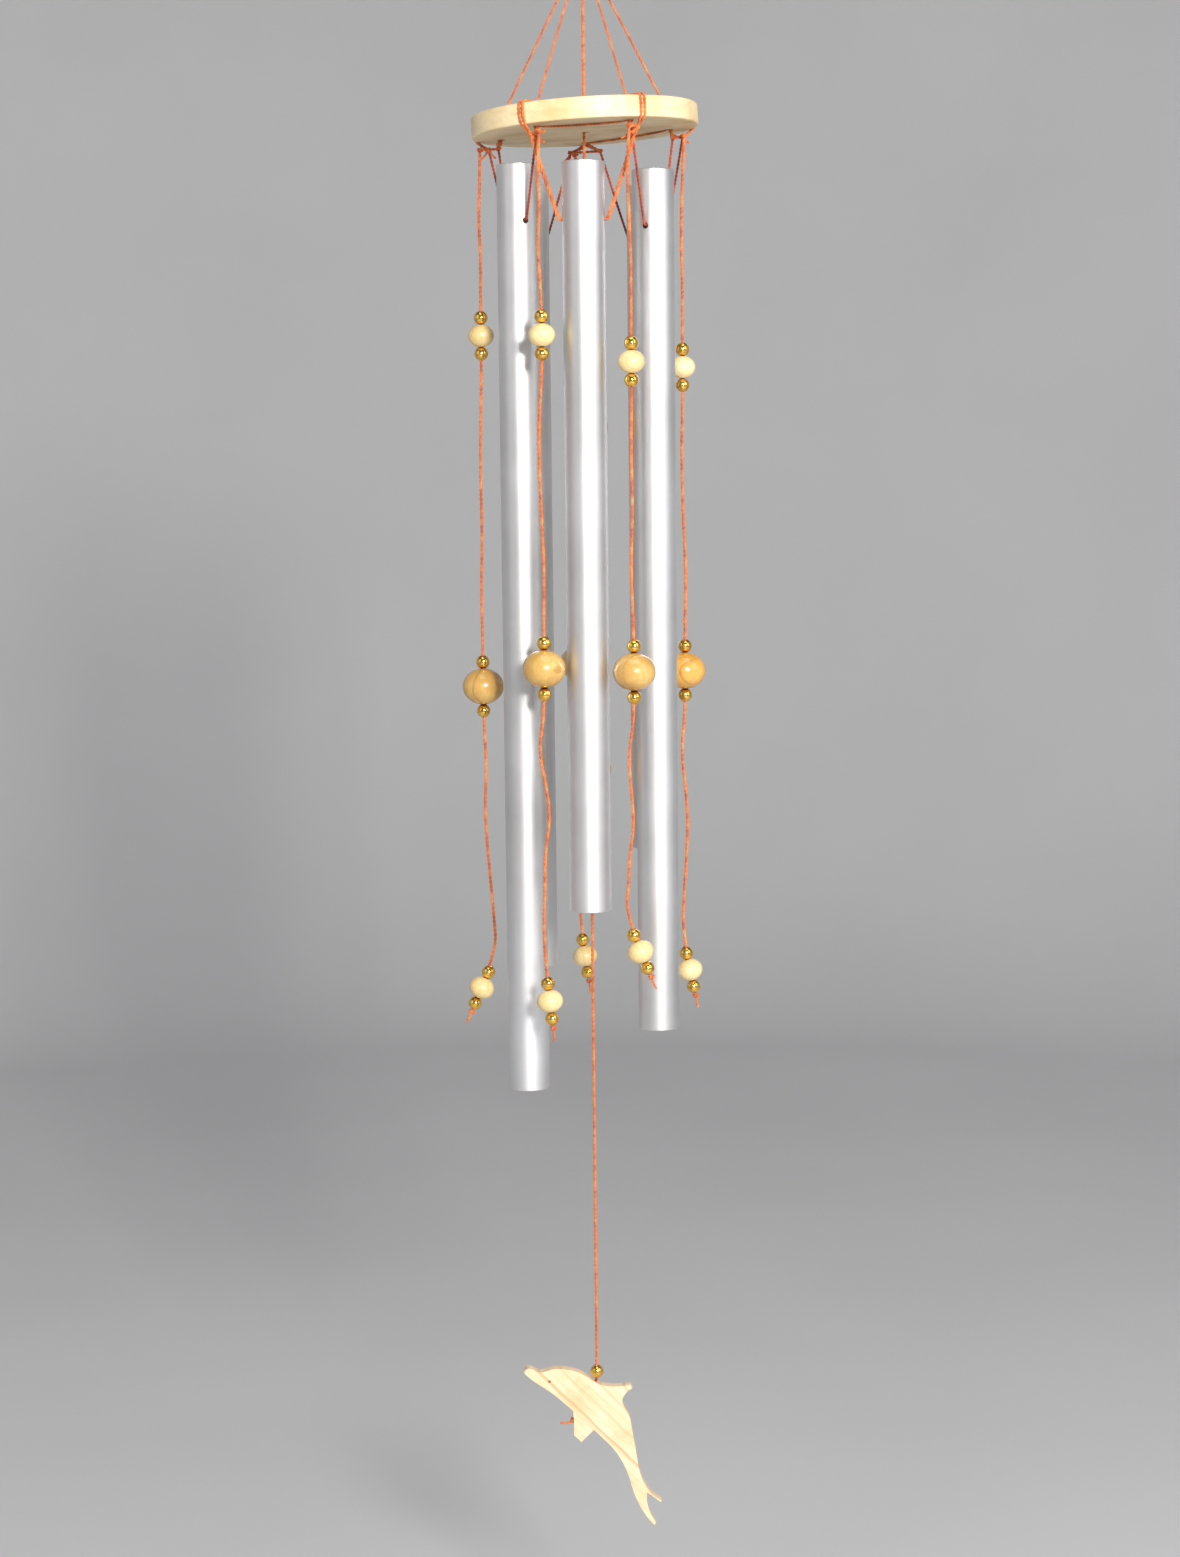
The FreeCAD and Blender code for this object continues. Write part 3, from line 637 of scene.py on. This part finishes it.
# Suspension cords and the ring
suspension = {
    "cord": 1.3 * mm, "crown": -28 * mm, "crownKnot": 4.4 * mm, "holeIn": 14.8 * mm, "stopper": 7 * mm,
    "bend": 2 * mm, "knot": 2 * mm, "knotCord": 1 * mm,
}


def threadPlaces(anchor):
    place = around(anchors[anchor], disc["radius"] - suspension["holeIn"])
    mouth, foot = onDisc(place, -1.0 * mm), onDisc(place, disc["thickness"] + 0.75 * mm)
    crown = Vector((0, 0, suspension["crown"]))
    start = crown + (mouth - crown).normalized() * suspension["crownKnot"] * 0.6
    return start, mouth, foot


def makeSuspension():
    bend = suspension["bend"]
    for name, pair in (("front", ("front_left", "front_right")), ("back", ("right", "back"))):
        first, second = threadPlaces(pair[0]), threadPlaces(pair[1])
        across = (second[2] - first[2]).normalized() * bend
        rise = Vector((0, 0, bend))
        route = [first[0], first[1] + (first[0] - first[1]).normalized() * bend, first[1] - rise,
                 first[2] + rise, first[2] + across, second[2] - across, second[2] + rise, second[1] - rise,
                 second[1] + (second[0] - second[1]).normalized() * bend, second[0]]
        bm = bmesh.new()
        addTwisted(bm, routeLine(route), suspension["cord"])
        link(f"suspensionCord_{name}", meshOf(bm, "suspension"), "canopy", [orangeCord],
             [f"suspension_cord_{name}"])
    start, mouth, foot = threadPlaces("left")
    aside = onDisc(around(anchors["left"] + 90, suspension["stopper"]), 0) - discTop
    stopper = foot + aside - Vector((0, 0, 2 * mm))
    rise = Vector((0, 0, bend))
    bm = bmesh.new()
    addTwisted(bm, routeLine([start, mouth + (start - mouth).normalized() * bend, mouth - rise, foot + rise,
                              foot + aside.normalized() * bend, stopper]), suspension["cord"])
    addKnot(bm, stopper, suspension["knot"], suspension["knotCord"], (0, 0, 1), 0.7)
    link("suspensionCord_left", meshOf(bm, "suspension"), "canopy", [orangeCord], ["suspension_cord_left"])
    bm = bmesh.new()
    addTwisted(bm, [Vector((0, 0, suspension["crown"])), Vector((0, 0, strikers["pivot"] - 0.3 * mm))],
               strikers["cord"])
    link("centreHangerCord", meshOf(bm, "hanger"), "canopy", [orangeCord], ["centre_hanger_cord"])


crownTie = {"thick": 2.4 * mm, "second": 4.1 * mm, "secondCord": 1.5 * mm, "secondDown": 0.4 * mm,
            "loopAt": -21.1 * mm, "loop": 2.3 * mm, "loopCord": 1.4 * mm, "loopSteps": 40}


def makeCrown():
    # the knot that gathers the cords, and the loop that ties it to the ring
    crown = Vector((0, 0, suspension["crown"]))
    lower = crown - Vector((0, 0, crownTie["secondDown"]))
    bm = bmesh.new()
    addKnot(bm, crown, suspension["crownKnot"], crownTie["thick"], (0.1, 0.2, 1), 0.3)
    addKnot(bm, lower, crownTie["second"], crownTie["secondCord"], (1, 0.3, 0.2), 1.2)
    turns = [2 * math.pi * number / crownTie["loopSteps"] for number in range(crownTie["loopSteps"] + 1)]
    wireBottom = Vector((0, 0, crownTie["loopAt"]))
    loop = [wireBottom + Vector((0, math.sin(turn), math.cos(turn))) * crownTie["loop"] for turn in turns]
    addTwisted(bm, loop, crownTie["loopCord"])
    link("crownKnot", meshOf(bm, "crownKnot"), "crown", [orangeCord], ["crown_knot"])


hangingRing = {"inner": 10 * mm, "wire": 1.1 * mm}


def makeRing():
    bm = bmesh.new()
    centre = Vector((0, 0, -hangingRing["inner"]))
    start = centre + Vector((hangingRing["inner"] + hangingRing["wire"], 0, 0))
    bmesh.ops.create_circle(bm, segments=20, radius=hangingRing["wire"], matrix=Matrix.Translation(start))
    bmesh.ops.spin(bm, geom=bm.edges[:], cent=centre, axis=(0, 1, 0), dvec=(0, 0, 0), angle=2 * math.pi,
                   steps=96, use_merge=True, use_duplicate=False)
    bmesh.ops.remove_doubles(bm, verts=bm.verts[:], dist=1e-6)
    bmesh.ops.recalc_face_normals(bm, faces=bm.faces[:])
    for face in bm.faces:
        face.smooth = True
    link("hangingRing", meshOf(bm, "hangingRing"), "ring", [ringBrass], ["hanging_ring"])


makeSuspension()
makeCrown()
makeRing()
print("suspension made")


# The lashings round the rim, with their knots and cut ends
tails = {
    "left": ((-4.0, 1.0, -5.0), (3.5, -2.0, -4.5)),
    "front_left": ((7.5, -2.0, 1.0), (7.0, -2.5, -4.5)),
    "front_right": ((-8.0, -2.5, -6.0), (-2.5, -3.0, -3.5)),
    "right": ((-5.5, -2.0, 1.5), (3.0, -2.5, -3.0)),
    "back": ((4.5, 2.5, -4.0), (-4.0, 2.0, -4.5)),
}
lashingKnots = {
    "outer": {"radius": 2.1 * mm, "cord": 1.3 * mm, "axis": (0.2, -0.3, 1), "turn": 0.3},
    "inner": {"radius": 1.8 * mm, "cord": 1.2 * mm, "axis": (-0.3, 0.2, 1), "turn": 1.4},
    "hanging": {"radius": 1.9 * mm, "cord": 1.3 * mm, "axis": (0.1, 0.1, 1), "turn": 2.1},
}


def makeLashings():
    off = lashing["cord"] / 2 + lashing["offWood"]
    bend = lashing["bend"]
    hole, rim = disc["radius"] - lashing["holeIn"], disc["radius"] + off
    above, below = -off, disc["thickness"] + off
    for anchor, angle in anchors.items():
        bm = bmesh.new()
        outer, inner = knotAt(anchor, "outer"), knotAt(anchor, "inner")
        hanging = layouts[anchor]["knot"]
        for side in (-1, 1):
            across = around(angle + 90, side * lashing["spread"])
            stops = [(hole, below - bend), (hole, above + bend), (hole + bend, above), (rim - bend, above),
                     (rim, above + bend), (rim, below - 2.2 * bend), (rim - bend, below)]
            route = [onDisc(around(angle, radius) + across, depth) for radius, depth in stops]
            route = [inner, onDisc(around(angle, hole) + across, below)] + route + [outer]
            addTwisted(bm, routeLine(route), lashing["cord"])
        for place, knot in zip((outer, inner, hanging), lashingKnots.values()):
            addKnot(bm, place, knot["radius"], knot["cord"], knot["axis"], knot["turn"])
        addTwisted(bm, [outer, inner], lashing["cord"])
        addTwisted(bm, [outer, hanging], lashing["cord"])
        for reach in tails[anchor]:
            addTail(bm, outer, outer + Vector(reach) * mm, lashing["tail"])
        link(f"rimLashing_{anchor}", meshOf(bm, "rimLashing"), "canopy", [orangeCord, cordTip],
             [f"rim_lashing_{anchor}"])


makeLashings()
print("lashings made")


# The slings that the tubes hang in
slings = {
    "front": {"ends": (("front_left", "outer"), ("front_right", "outer")),
        "cord": 2.2 * mm, "drop": 49.6 * mm},
    "front_left": {"ends": (("left", "inner"), ("front_left", "inner")),
        "cord": 1.4 * mm, "drop": 47.5 * mm},
    "front_right": {"ends": (("front_right", "inner"), ("right", "inner")),
        "cord": 1.4 * mm, "drop": 50.9 * mm},
    "back_left": {"ends": (("left", "outer"), ("back", "outer")),
        "cord": 1.4 * mm, "drop": 54.0 * mm},
    "back_right": {"ends": (("back", "inner"), ("right", "outer")),
        "cord": 1.4 * mm, "drop": 54.7 * mm},
}
slingBend = 1.5 * mm
tube = {"radius": 11.1 * mm, "wall": 1.2 * mm, "hole": 1.6 * mm, "standOff": 1.8 * mm, "segments": 96,
        "lip": 0.25 * mm, "bands": (-5 * mm, -2.4 * mm, 0, 2.4 * mm, 5 * mm)}


def slingAxis(name):
    start, end = (knotAt(*knot) for knot in slings[name]["ends"])
    return Vector((end.x - start.x, end.y - start.y, 0)).normalized()


def tubeHole(name):
    middle = boxMiddle(f"tube_{name}")
    return Vector((middle.x, middle.y, underside - slings[name]["drop"]))


def makeSlings():
    bend = slingBend
    for name, sling in slings.items():
        start, end = (knotAt(*knot) for knot in sling["ends"])
        hole, axis = tubeHole(name), slingAxis(name)
        left = hole - axis * (tube["radius"] + tube["standOff"])
        right = hole + axis * (tube["radius"] + tube["standOff"])
        route = [start, left + (start - left).normalized() * bend, left + axis * bend,
                 right - axis * bend, right + (end - right).normalized() * bend, end]
        bm = bmesh.new()
        addTwisted(bm, routeLine(route), sling["cord"])
        # every sling but the front one gets the darker cord copy with painted shade
        material = orangeCord if name == "front" else paintedShadeCord
        link(f"sling_{name}_cord", meshOf(bm, "sling"), f"sling_{name}", [material], [f"sling_{name}"])


makeSlings()
print("slings made")


# Tubes: drawn, cut and drilled
def cutBy(mesh, cutters, name):
    # a mesh with closed cutter shapes taken out of it
    body = bpy.data.objects.new("cutBody", mesh)
    scene.collection.objects.link(body)
    tool = bpy.data.objects.new("cutTool", meshOf(cutters, "cutTool"))
    scene.collection.objects.link(tool)
    cut = body.modifiers.new("cut", "BOOLEAN")
    cut.operation = "DIFFERENCE"
    cut.solver = "EXACT"
    cut.object = tool
    bpy.context.view_layer.update()
    graph = bpy.context.evaluated_depsgraph_get()
    done = bpy.data.meshes.new_from_object(body.evaluated_get(graph))
    done.name = name
    for spent in (body, tool):
        data = spent.data
        bpy.data.objects.remove(spent)
        bpy.data.meshes.remove(data)
    return done


def smoothBut(mesh, angle):
    # smooth faces, sharp where two meet at more than an angle
    for polygon in mesh.polygons:
        polygon.use_smooth = True
    mesh.set_sharp_from_angle(angle=math.radians(angle))


def addRod(bm, start, end, radius, segments=32):
    line = end - start
    turn = Vector((0, 0, 1)).rotation_difference(line).to_matrix().to_4x4()
    bmesh.ops.create_cone(bm, cap_ends=True, segments=segments, radius1=radius, radius2=radius,
                          depth=line.length, matrix=Matrix.Translation((start + end) / 2) @ turn)


def makeTube(name):
    low, high = (Vector(corner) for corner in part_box(f"tube_{name}"))
    middle, hole = (low + high) / 2, tubeHole(name)
    outer, inner = tube["radius"], tube["radius"] - tube["wall"]
    lip = tube["lip"]
    bm = bmesh.new()
    heights = [low.z + lip] + [hole.z + band for band in tube["bands"]] + [high.z - lip]
    outline = [(outer - lip, low.z)] + [(outer, height) for height in heights] + [(outer - lip, high.z)]
    outline += [(inner + lip / 2, high.z)] + [(inner, height) for height in reversed(heights)]
    outline += [(inner + lip / 2, low.z)]
    corners = [bm.verts.new((middle.x + radius, middle.y, height)) for radius, height in outline]
    edges = [bm.edges.new((a, b)) for a, b in zip(corners, corners[1:] + corners[:1])]
    bmesh.ops.spin(bm, geom=corners + edges, cent=(middle.x, middle.y, 0), axis=(0, 0, 1), dvec=(0, 0, 0),
                   angle=2 * math.pi, steps=tube["segments"], use_merge=True, use_duplicate=False)
    bmesh.ops.remove_doubles(bm, verts=bm.verts[:], dist=1e-6)
    bmesh.ops.recalc_face_normals(bm, faces=bm.faces[:])
    axis = slingAxis(name)
    cutter = bmesh.new()
    addRod(cutter, hole - axis * 2 * outer, hole + axis * 2 * outer, tube["hole"])
    mesh = cutBy(meshOf(bm, "tubeWall"), cutter, f"tube_{name}")
    smoothBut(mesh, 30)
    link(f"tube_{name}_metal", mesh, f"tube_{name}", [tubeMetal], [f"tube_{name}"])


for tubeName in slings:
    makeTube(tubeName)
print("tubes made")


# The wooden disc
def makeDisc():
    bm = bmesh.new()
    bmesh.ops.create_cone(bm, cap_ends=True, segments=160, radius1=disc["radius"], radius2=disc["radius"],
                          depth=disc["thickness"])
    rims = [edge for edge in bm.edges if abs(edge.verts[0].co.z - edge.verts[1].co.z) < 1e-6]
    bmesh.ops.bevel(bm, geom=rims, offset=disc["edgeRound"], offset_type="OFFSET", affect="EDGES", segments=5,
                    profile=0.5, material=-1, clamp_overlap=False)
    bmesh.ops.translate(bm, verts=bm.verts[:], vec=(0, 0, disc["top"] - disc["thickness"] / 2))
    holes = bmesh.new()
    drill = 2 * disc["thickness"]
    addRod(holes, Vector((0, 0, disc["top"] + drill)), Vector((0, 0, underside - drill)), disc["centreHole"])
    for angle in anchors.values():
        place = around(angle, disc["radius"] - disc["anchorInset"])
        addRod(holes, place + Vector((0, 0, disc["top"] + drill)), place + Vector((0, 0, underside - drill)),
               disc["anchorHole"])
    mesh = cutBy(meshOf(bm, "disc"), holes, "topDisc")
    tilt = Matrix.Rotation(math.radians(-disc["tilt"]), 4, "Y")
    mesh.transform(Matrix.Translation(discTop) @ tilt @ Matrix.Translation(-discTop))
    smoothBut(mesh, 35)
    link("topDisc", mesh, "canopy", [discWood], ["top_disc"])


makeDisc()
print("disc made")


# Beads, turned on a lathe
def addBead(bm, centre, axis, kind, grain=(0, 0, 0)):
    layers = bm.verts.layers.float_vector
    places = layers.get("woodPlace") or layers.new("woodPlace")
    before = set(bm.verts)
    mouth = kind["bore"] * beads["mouth"]
    reach = math.acos((kind["bore"] + mouth) / kind["radius"])
    half = beads["sideSteps"] // 2
    turns = [reach * (number / half - 1) for number in range(2 * half + 1)]
    side = [(kind["radius"] * math.cos(turn), kind["height"] / 2 * math.sin(turn)) for turn in turns]
    inside = side[-1][1] - beads["mouthSlope"] * mouth
    profile = [(kind["bore"], -inside)] + side + [(kind["bore"], inside)]
    corners = [bm.verts.new((radius, 0, height)) for radius, height in profile]
    edges = [bm.edges.new((a, b)) for a, b in zip(corners, corners[1:] + corners[:1])]
    bmesh.ops.spin(bm, geom=corners + edges, cent=(0, 0, 0), axis=(0, 0, 1), dvec=(0, 0, 0),
                   angle=2 * math.pi, steps=beads["turnSteps"], use_merge=True, use_duplicate=False)
    made = [vertex for vertex in bm.verts if vertex not in before]
    for vertex in made:
        vertex[places] = vertex.co + Vector(grain)
    turn = Vector((0, 0, 1)).rotation_difference(axis).to_matrix().to_4x4()
    bmesh.ops.transform(bm, matrix=Matrix.Translation(centre) @ turn, verts=made)


def beadPiece(name, placed, body, material, node):
    bm = bmesh.new()
    for centre, axis, kind, grain in placed:
        addBead(bm, centre, axis, kind, grain)
    bmesh.ops.remove_doubles(bm, verts=bm.verts[:], dist=1e-6)
    bmesh.ops.recalc_face_normals(bm, faces=bm.faces[:])
    mesh = meshOf(bm, name)
    smoothBut(mesh, 50)
    return link(name, mesh, body, [material], [node])


def brassEnds(centre, axis, kind):
    step = halfHeight(kind) + beads["gap"] + halfHeight(beads["brass"])
    return [(centre + axis * side, axis, beads["brass"], (0, 0, 0)) for side in (-step, step)]


def makeBeads():
    chance = random.Random(7)

    def grain():
        return [chance.uniform(-0.05, 0.05) for number in range(3)]

    def wooden(layout, size):
        return [(centre, axis, beads[kind], grain())
                for centre, axis, kind in layout["groups"] if kind == size]

    for name, layout in layouts.items():
        small, large = wooden(layout, "small"), wooden(layout, "large")
        brass = [end for centre, axis, kind in layout["groups"]
                 for end in brassEnds(centre, axis, beads[kind])]
        body = f"strand_{name}"
        beadPiece(f"smallBeads_{name}", small, body, smallBeadWood, f"small_beads_{name}")
        varnish = amberBeadWood if name == "right" else largeBeadWood
        beadPiece(f"largeBead_{name}", large, body, varnish, f"large_bead_{name}")
        beadPiece(f"brassBeads_{name}", brass, body, beadBrass, f"brass_beads_{name}")
    for name, height in zip(("upper", "lower"), strikers["centres"]):
        centre, axis, body = Vector((0, 0, height)), Vector((0, 0, -1)), f"striker_{name}"
        beadPiece(f"strikerBead_{name}", [(centre, axis, beads["large"], grain())], body, largeBeadWood,
                  f"striker_bead_{name}")
        beadPiece(f"strikerBrass_{name}", brassEnds(centre, axis, beads["large"]), body, beadBrass,
                  f"striker_brass_{name}")
    catcher = Vector((0, 0, strikers["catcherBead"]))
    beadPiece("catcherBead", [(catcher, Vector((0, 0, 1)), beads["brass"], (0, 0, 0))], "wind_catcher",
              beadBrass, "wind_catcher_bead")


makeBeads()
print("beads made")


# The dolphin
dolphin = {"origin": -800.0 * mm, "thickness": 6 * mm, "edgeRound": 0.8 * mm, "eye": (-26.5 * mm, -4.4 * mm),
           "eyeClear": 2 * mm}


def makeDolphin():
    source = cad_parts["wind_catcher"].data
    bm = bmesh.new()
    bm.from_mesh(source)
    bmesh.ops.remove_doubles(bm, verts=bm.verts[:], dist=1e-6)
    face = dolphin["thickness"] / 2
    eye = Vector((dolphin["eye"][0], 0, dolphin["origin"] + dolphin["eye"][1]))
    flats = [f for f in bm.faces
             if abs(f.normal.y) > 0.999 and abs(abs(f.calc_center_median().y) - face) < 1e-5]
    bmesh.ops.dissolve_faces(bm, faces=[f for f in flats if f.normal.y < 0])
    bmesh.ops.dissolve_faces(bm, faces=[f for f in bm.faces if f.normal.y > 0.999])
    rims = []
    for edge in bm.edges:
        middle = (edge.verts[0].co + edge.verts[1].co) / 2
        flat = all(abs(abs(vertex.co.y) - face) < 1e-5 for vertex in edge.verts)
        away = Vector((middle.x - eye.x, 0, middle.z - eye.z)).length > dolphin["eyeClear"]
        if flat and away and middle.y * edge.verts[0].co.y > 0 and len(edge.link_faces) == 2:
            rims.append(edge)
    bmesh.ops.bevel(bm, geom=rims, offset=dolphin["edgeRound"], offset_type="OFFSET", affect="EDGES",
                    segments=4, profile=0.5, material=-1, clamp_overlap=True)
    mesh = meshOf(bm, "dolphin")
    smoothBut(mesh, 32)
    link("dolphin", mesh, "wind_catcher", [dolphinWood], ["wind_catcher"])


# the cord goes into the dolphin's back and comes out at its belly, where a knot holds it
catcherTie = {"into": -4.6 * mm, "out": (-12.7 * mm, 0, -26.0 * mm), "bend": 1.5 * mm, "cord": 1.5 * mm,
              "knotOut": 2 * mm, "knot": 2.2 * mm, "knotCord": 1.2 * mm, "tailOut": 1 * mm,
              "tail": (-6.4 * mm, 0, -0.6 * mm)}


def makeCatcherCord():
    origin, bend = Vector((0, 0, dolphin["origin"])), catcherTie["bend"]
    into, out = origin + Vector((0, 0, catcherTie["into"])), origin + Vector(catcherTie["out"])
    slope = (out - into).normalized()
    top = Vector((0, 0, strikers["catcherBead"]))
    bm = bmesh.new()
    route = [top, into + Vector((0, 0, bend)), into + slope * bend, out + slope * bend]
    addTwisted(bm, routeLine(route), catcherTie["cord"])
    # the dolphin's cord gets the darker cord copy with painted shade
    link("catcherCord", meshOf(bm, "catcherCord"), "wind_catcher", [paintedShadeCord], ["wind_catcher_cord"])
    bm = bmesh.new()
    knot = out + slope * catcherTie["knotOut"]
    tail = knot + slope * catcherTie["tailOut"]
    addKnot(bm, knot, catcherTie["knot"], catcherTie["knotCord"], slope, 0.5)
    addTail(bm, tail, tail + Vector(catcherTie["tail"]), catcherTie["knotCord"])
    link("catcherKnot", meshOf(bm, "catcherKnot"), "wind_catcher", [orangeCord, cordTip],
         ["wind_catcher_knot"])


makeDolphin()
makeCatcherCord()
print("wind catcher made")

# Floor, backdrop and lights
# a round paper goes all the way about the chime, so that every side is seen against it
stageSet = {"floor": -1.05, "reach": 2.5, "round": 0.5, "height": 1.6, "turns": 96}


def makeStage():
    bm = bmesh.new()
    floor, reach, bend = stageSet["floor"], stageSet["reach"], stageSet["round"]
    outline = [(0, floor)]
    for number in range(17):
        turn = math.pi / 2 * number / 16
        outline.append((reach - bend + bend * math.sin(turn), floor + bend - bend * math.cos(turn)))
    outline.append((reach, stageSet["height"]))
    corners = [bm.verts.new((out, 0, z)) for out, z in outline]
    edges = [bm.edges.new((a, b)) for a, b in zip(corners, corners[1:])]
    bmesh.ops.spin(bm, geom=corners + edges, cent=(0, 0, 0), axis=(0, 0, 1), angle=2 * math.pi,
                   steps=stageSet["turns"], use_merge=True, use_duplicate=False)
    bmesh.ops.remove_doubles(bm, verts=bm.verts[:], dist=0.00001)
    bmesh.ops.recalc_face_normals(bm, faces=bm.faces[:])
    mesh = meshOf(bm, "backdrop")
    smoothBut(mesh, 40)
    material, tree, shader = newMaterial("backdropPaper", {"Roughness": 0.9})
    place = addNode(tree, "ShaderNodeTexCoord").outputs["Object"]
    mottle = addNode(tree, "ShaderNodeTexNoise", {"Scale": 3.0, "Detail": 2.0})
    tree.links.new(place, mottle.inputs["Vector"])
    tone = ramp(tree, mottle.outputs["Fac"], [(0.3, (0.62, 0.62, 0.63)), (0.7, (0.65, 0.65, 0.66))])
    tree.links.new(tone, shader.inputs["Base Color"])
    mesh.materials.append(material)
    piece = bpy.data.objects.new("backdrop", mesh)
    scene.collection.objects.link(piece)


lights = {
    "key": {"place": (0.5, -1.95, 0.12), "size": (0.34, 0.34), "power": 52, "aim": (0, 0, -0.4),
            "colour": (1.0, 0.97, 0.93)},
    "sideRight": {"place": (1.5, -0.9, 0.45), "size": (0.9, 1.6), "power": 9, "aim": (0, 0, -0.4),
                  "colour": (0.9, 0.95, 1.0)},
    "sideLeft": {"place": (-1.5, -1.0, 0.4), "size": (0.8, 1.6), "power": 3, "aim": (0, 0, -0.4),
                 "colour": (1.0, 0.98, 0.95)},
    "top": {"place": (0.1, -0.4, 1.4), "size": (1.2, 1.2), "power": 9, "aim": (0, 0, -0.4),
            "colour": (1.0, 1.0, 1.0)},
}
skyLight = {"colour": (0.5, 0.51, 0.53), "strength": 0.3}


def makeLights():
    for name, light in lights.items():
        data = bpy.data.lights.new(name, "AREA")
        data.shape = "RECTANGLE"
        data.size, data.size_y = light["size"]
        data.energy = light["power"]
        data.color = light["colour"]
        lamp = bpy.data.objects.new(name, data)
        lamp.location = light["place"]
        beam = Vector(light["aim"]) - Vector(light["place"])
        lamp.rotation_euler = beam.to_track_quat("-Z", "Y").to_euler()
        scene.collection.objects.link(lamp)
    world = bpy.data.worlds.new("studio")
    world.use_nodes = True
    sky = world.node_tree.nodes["Background"]
    sky.inputs["Color"].default_value = (*skyLight["colour"], 1)
    sky.inputs["Strength"].default_value = skyLight["strength"]
    scene.world = world


makeStage()
makeLights()
print("stage lit")
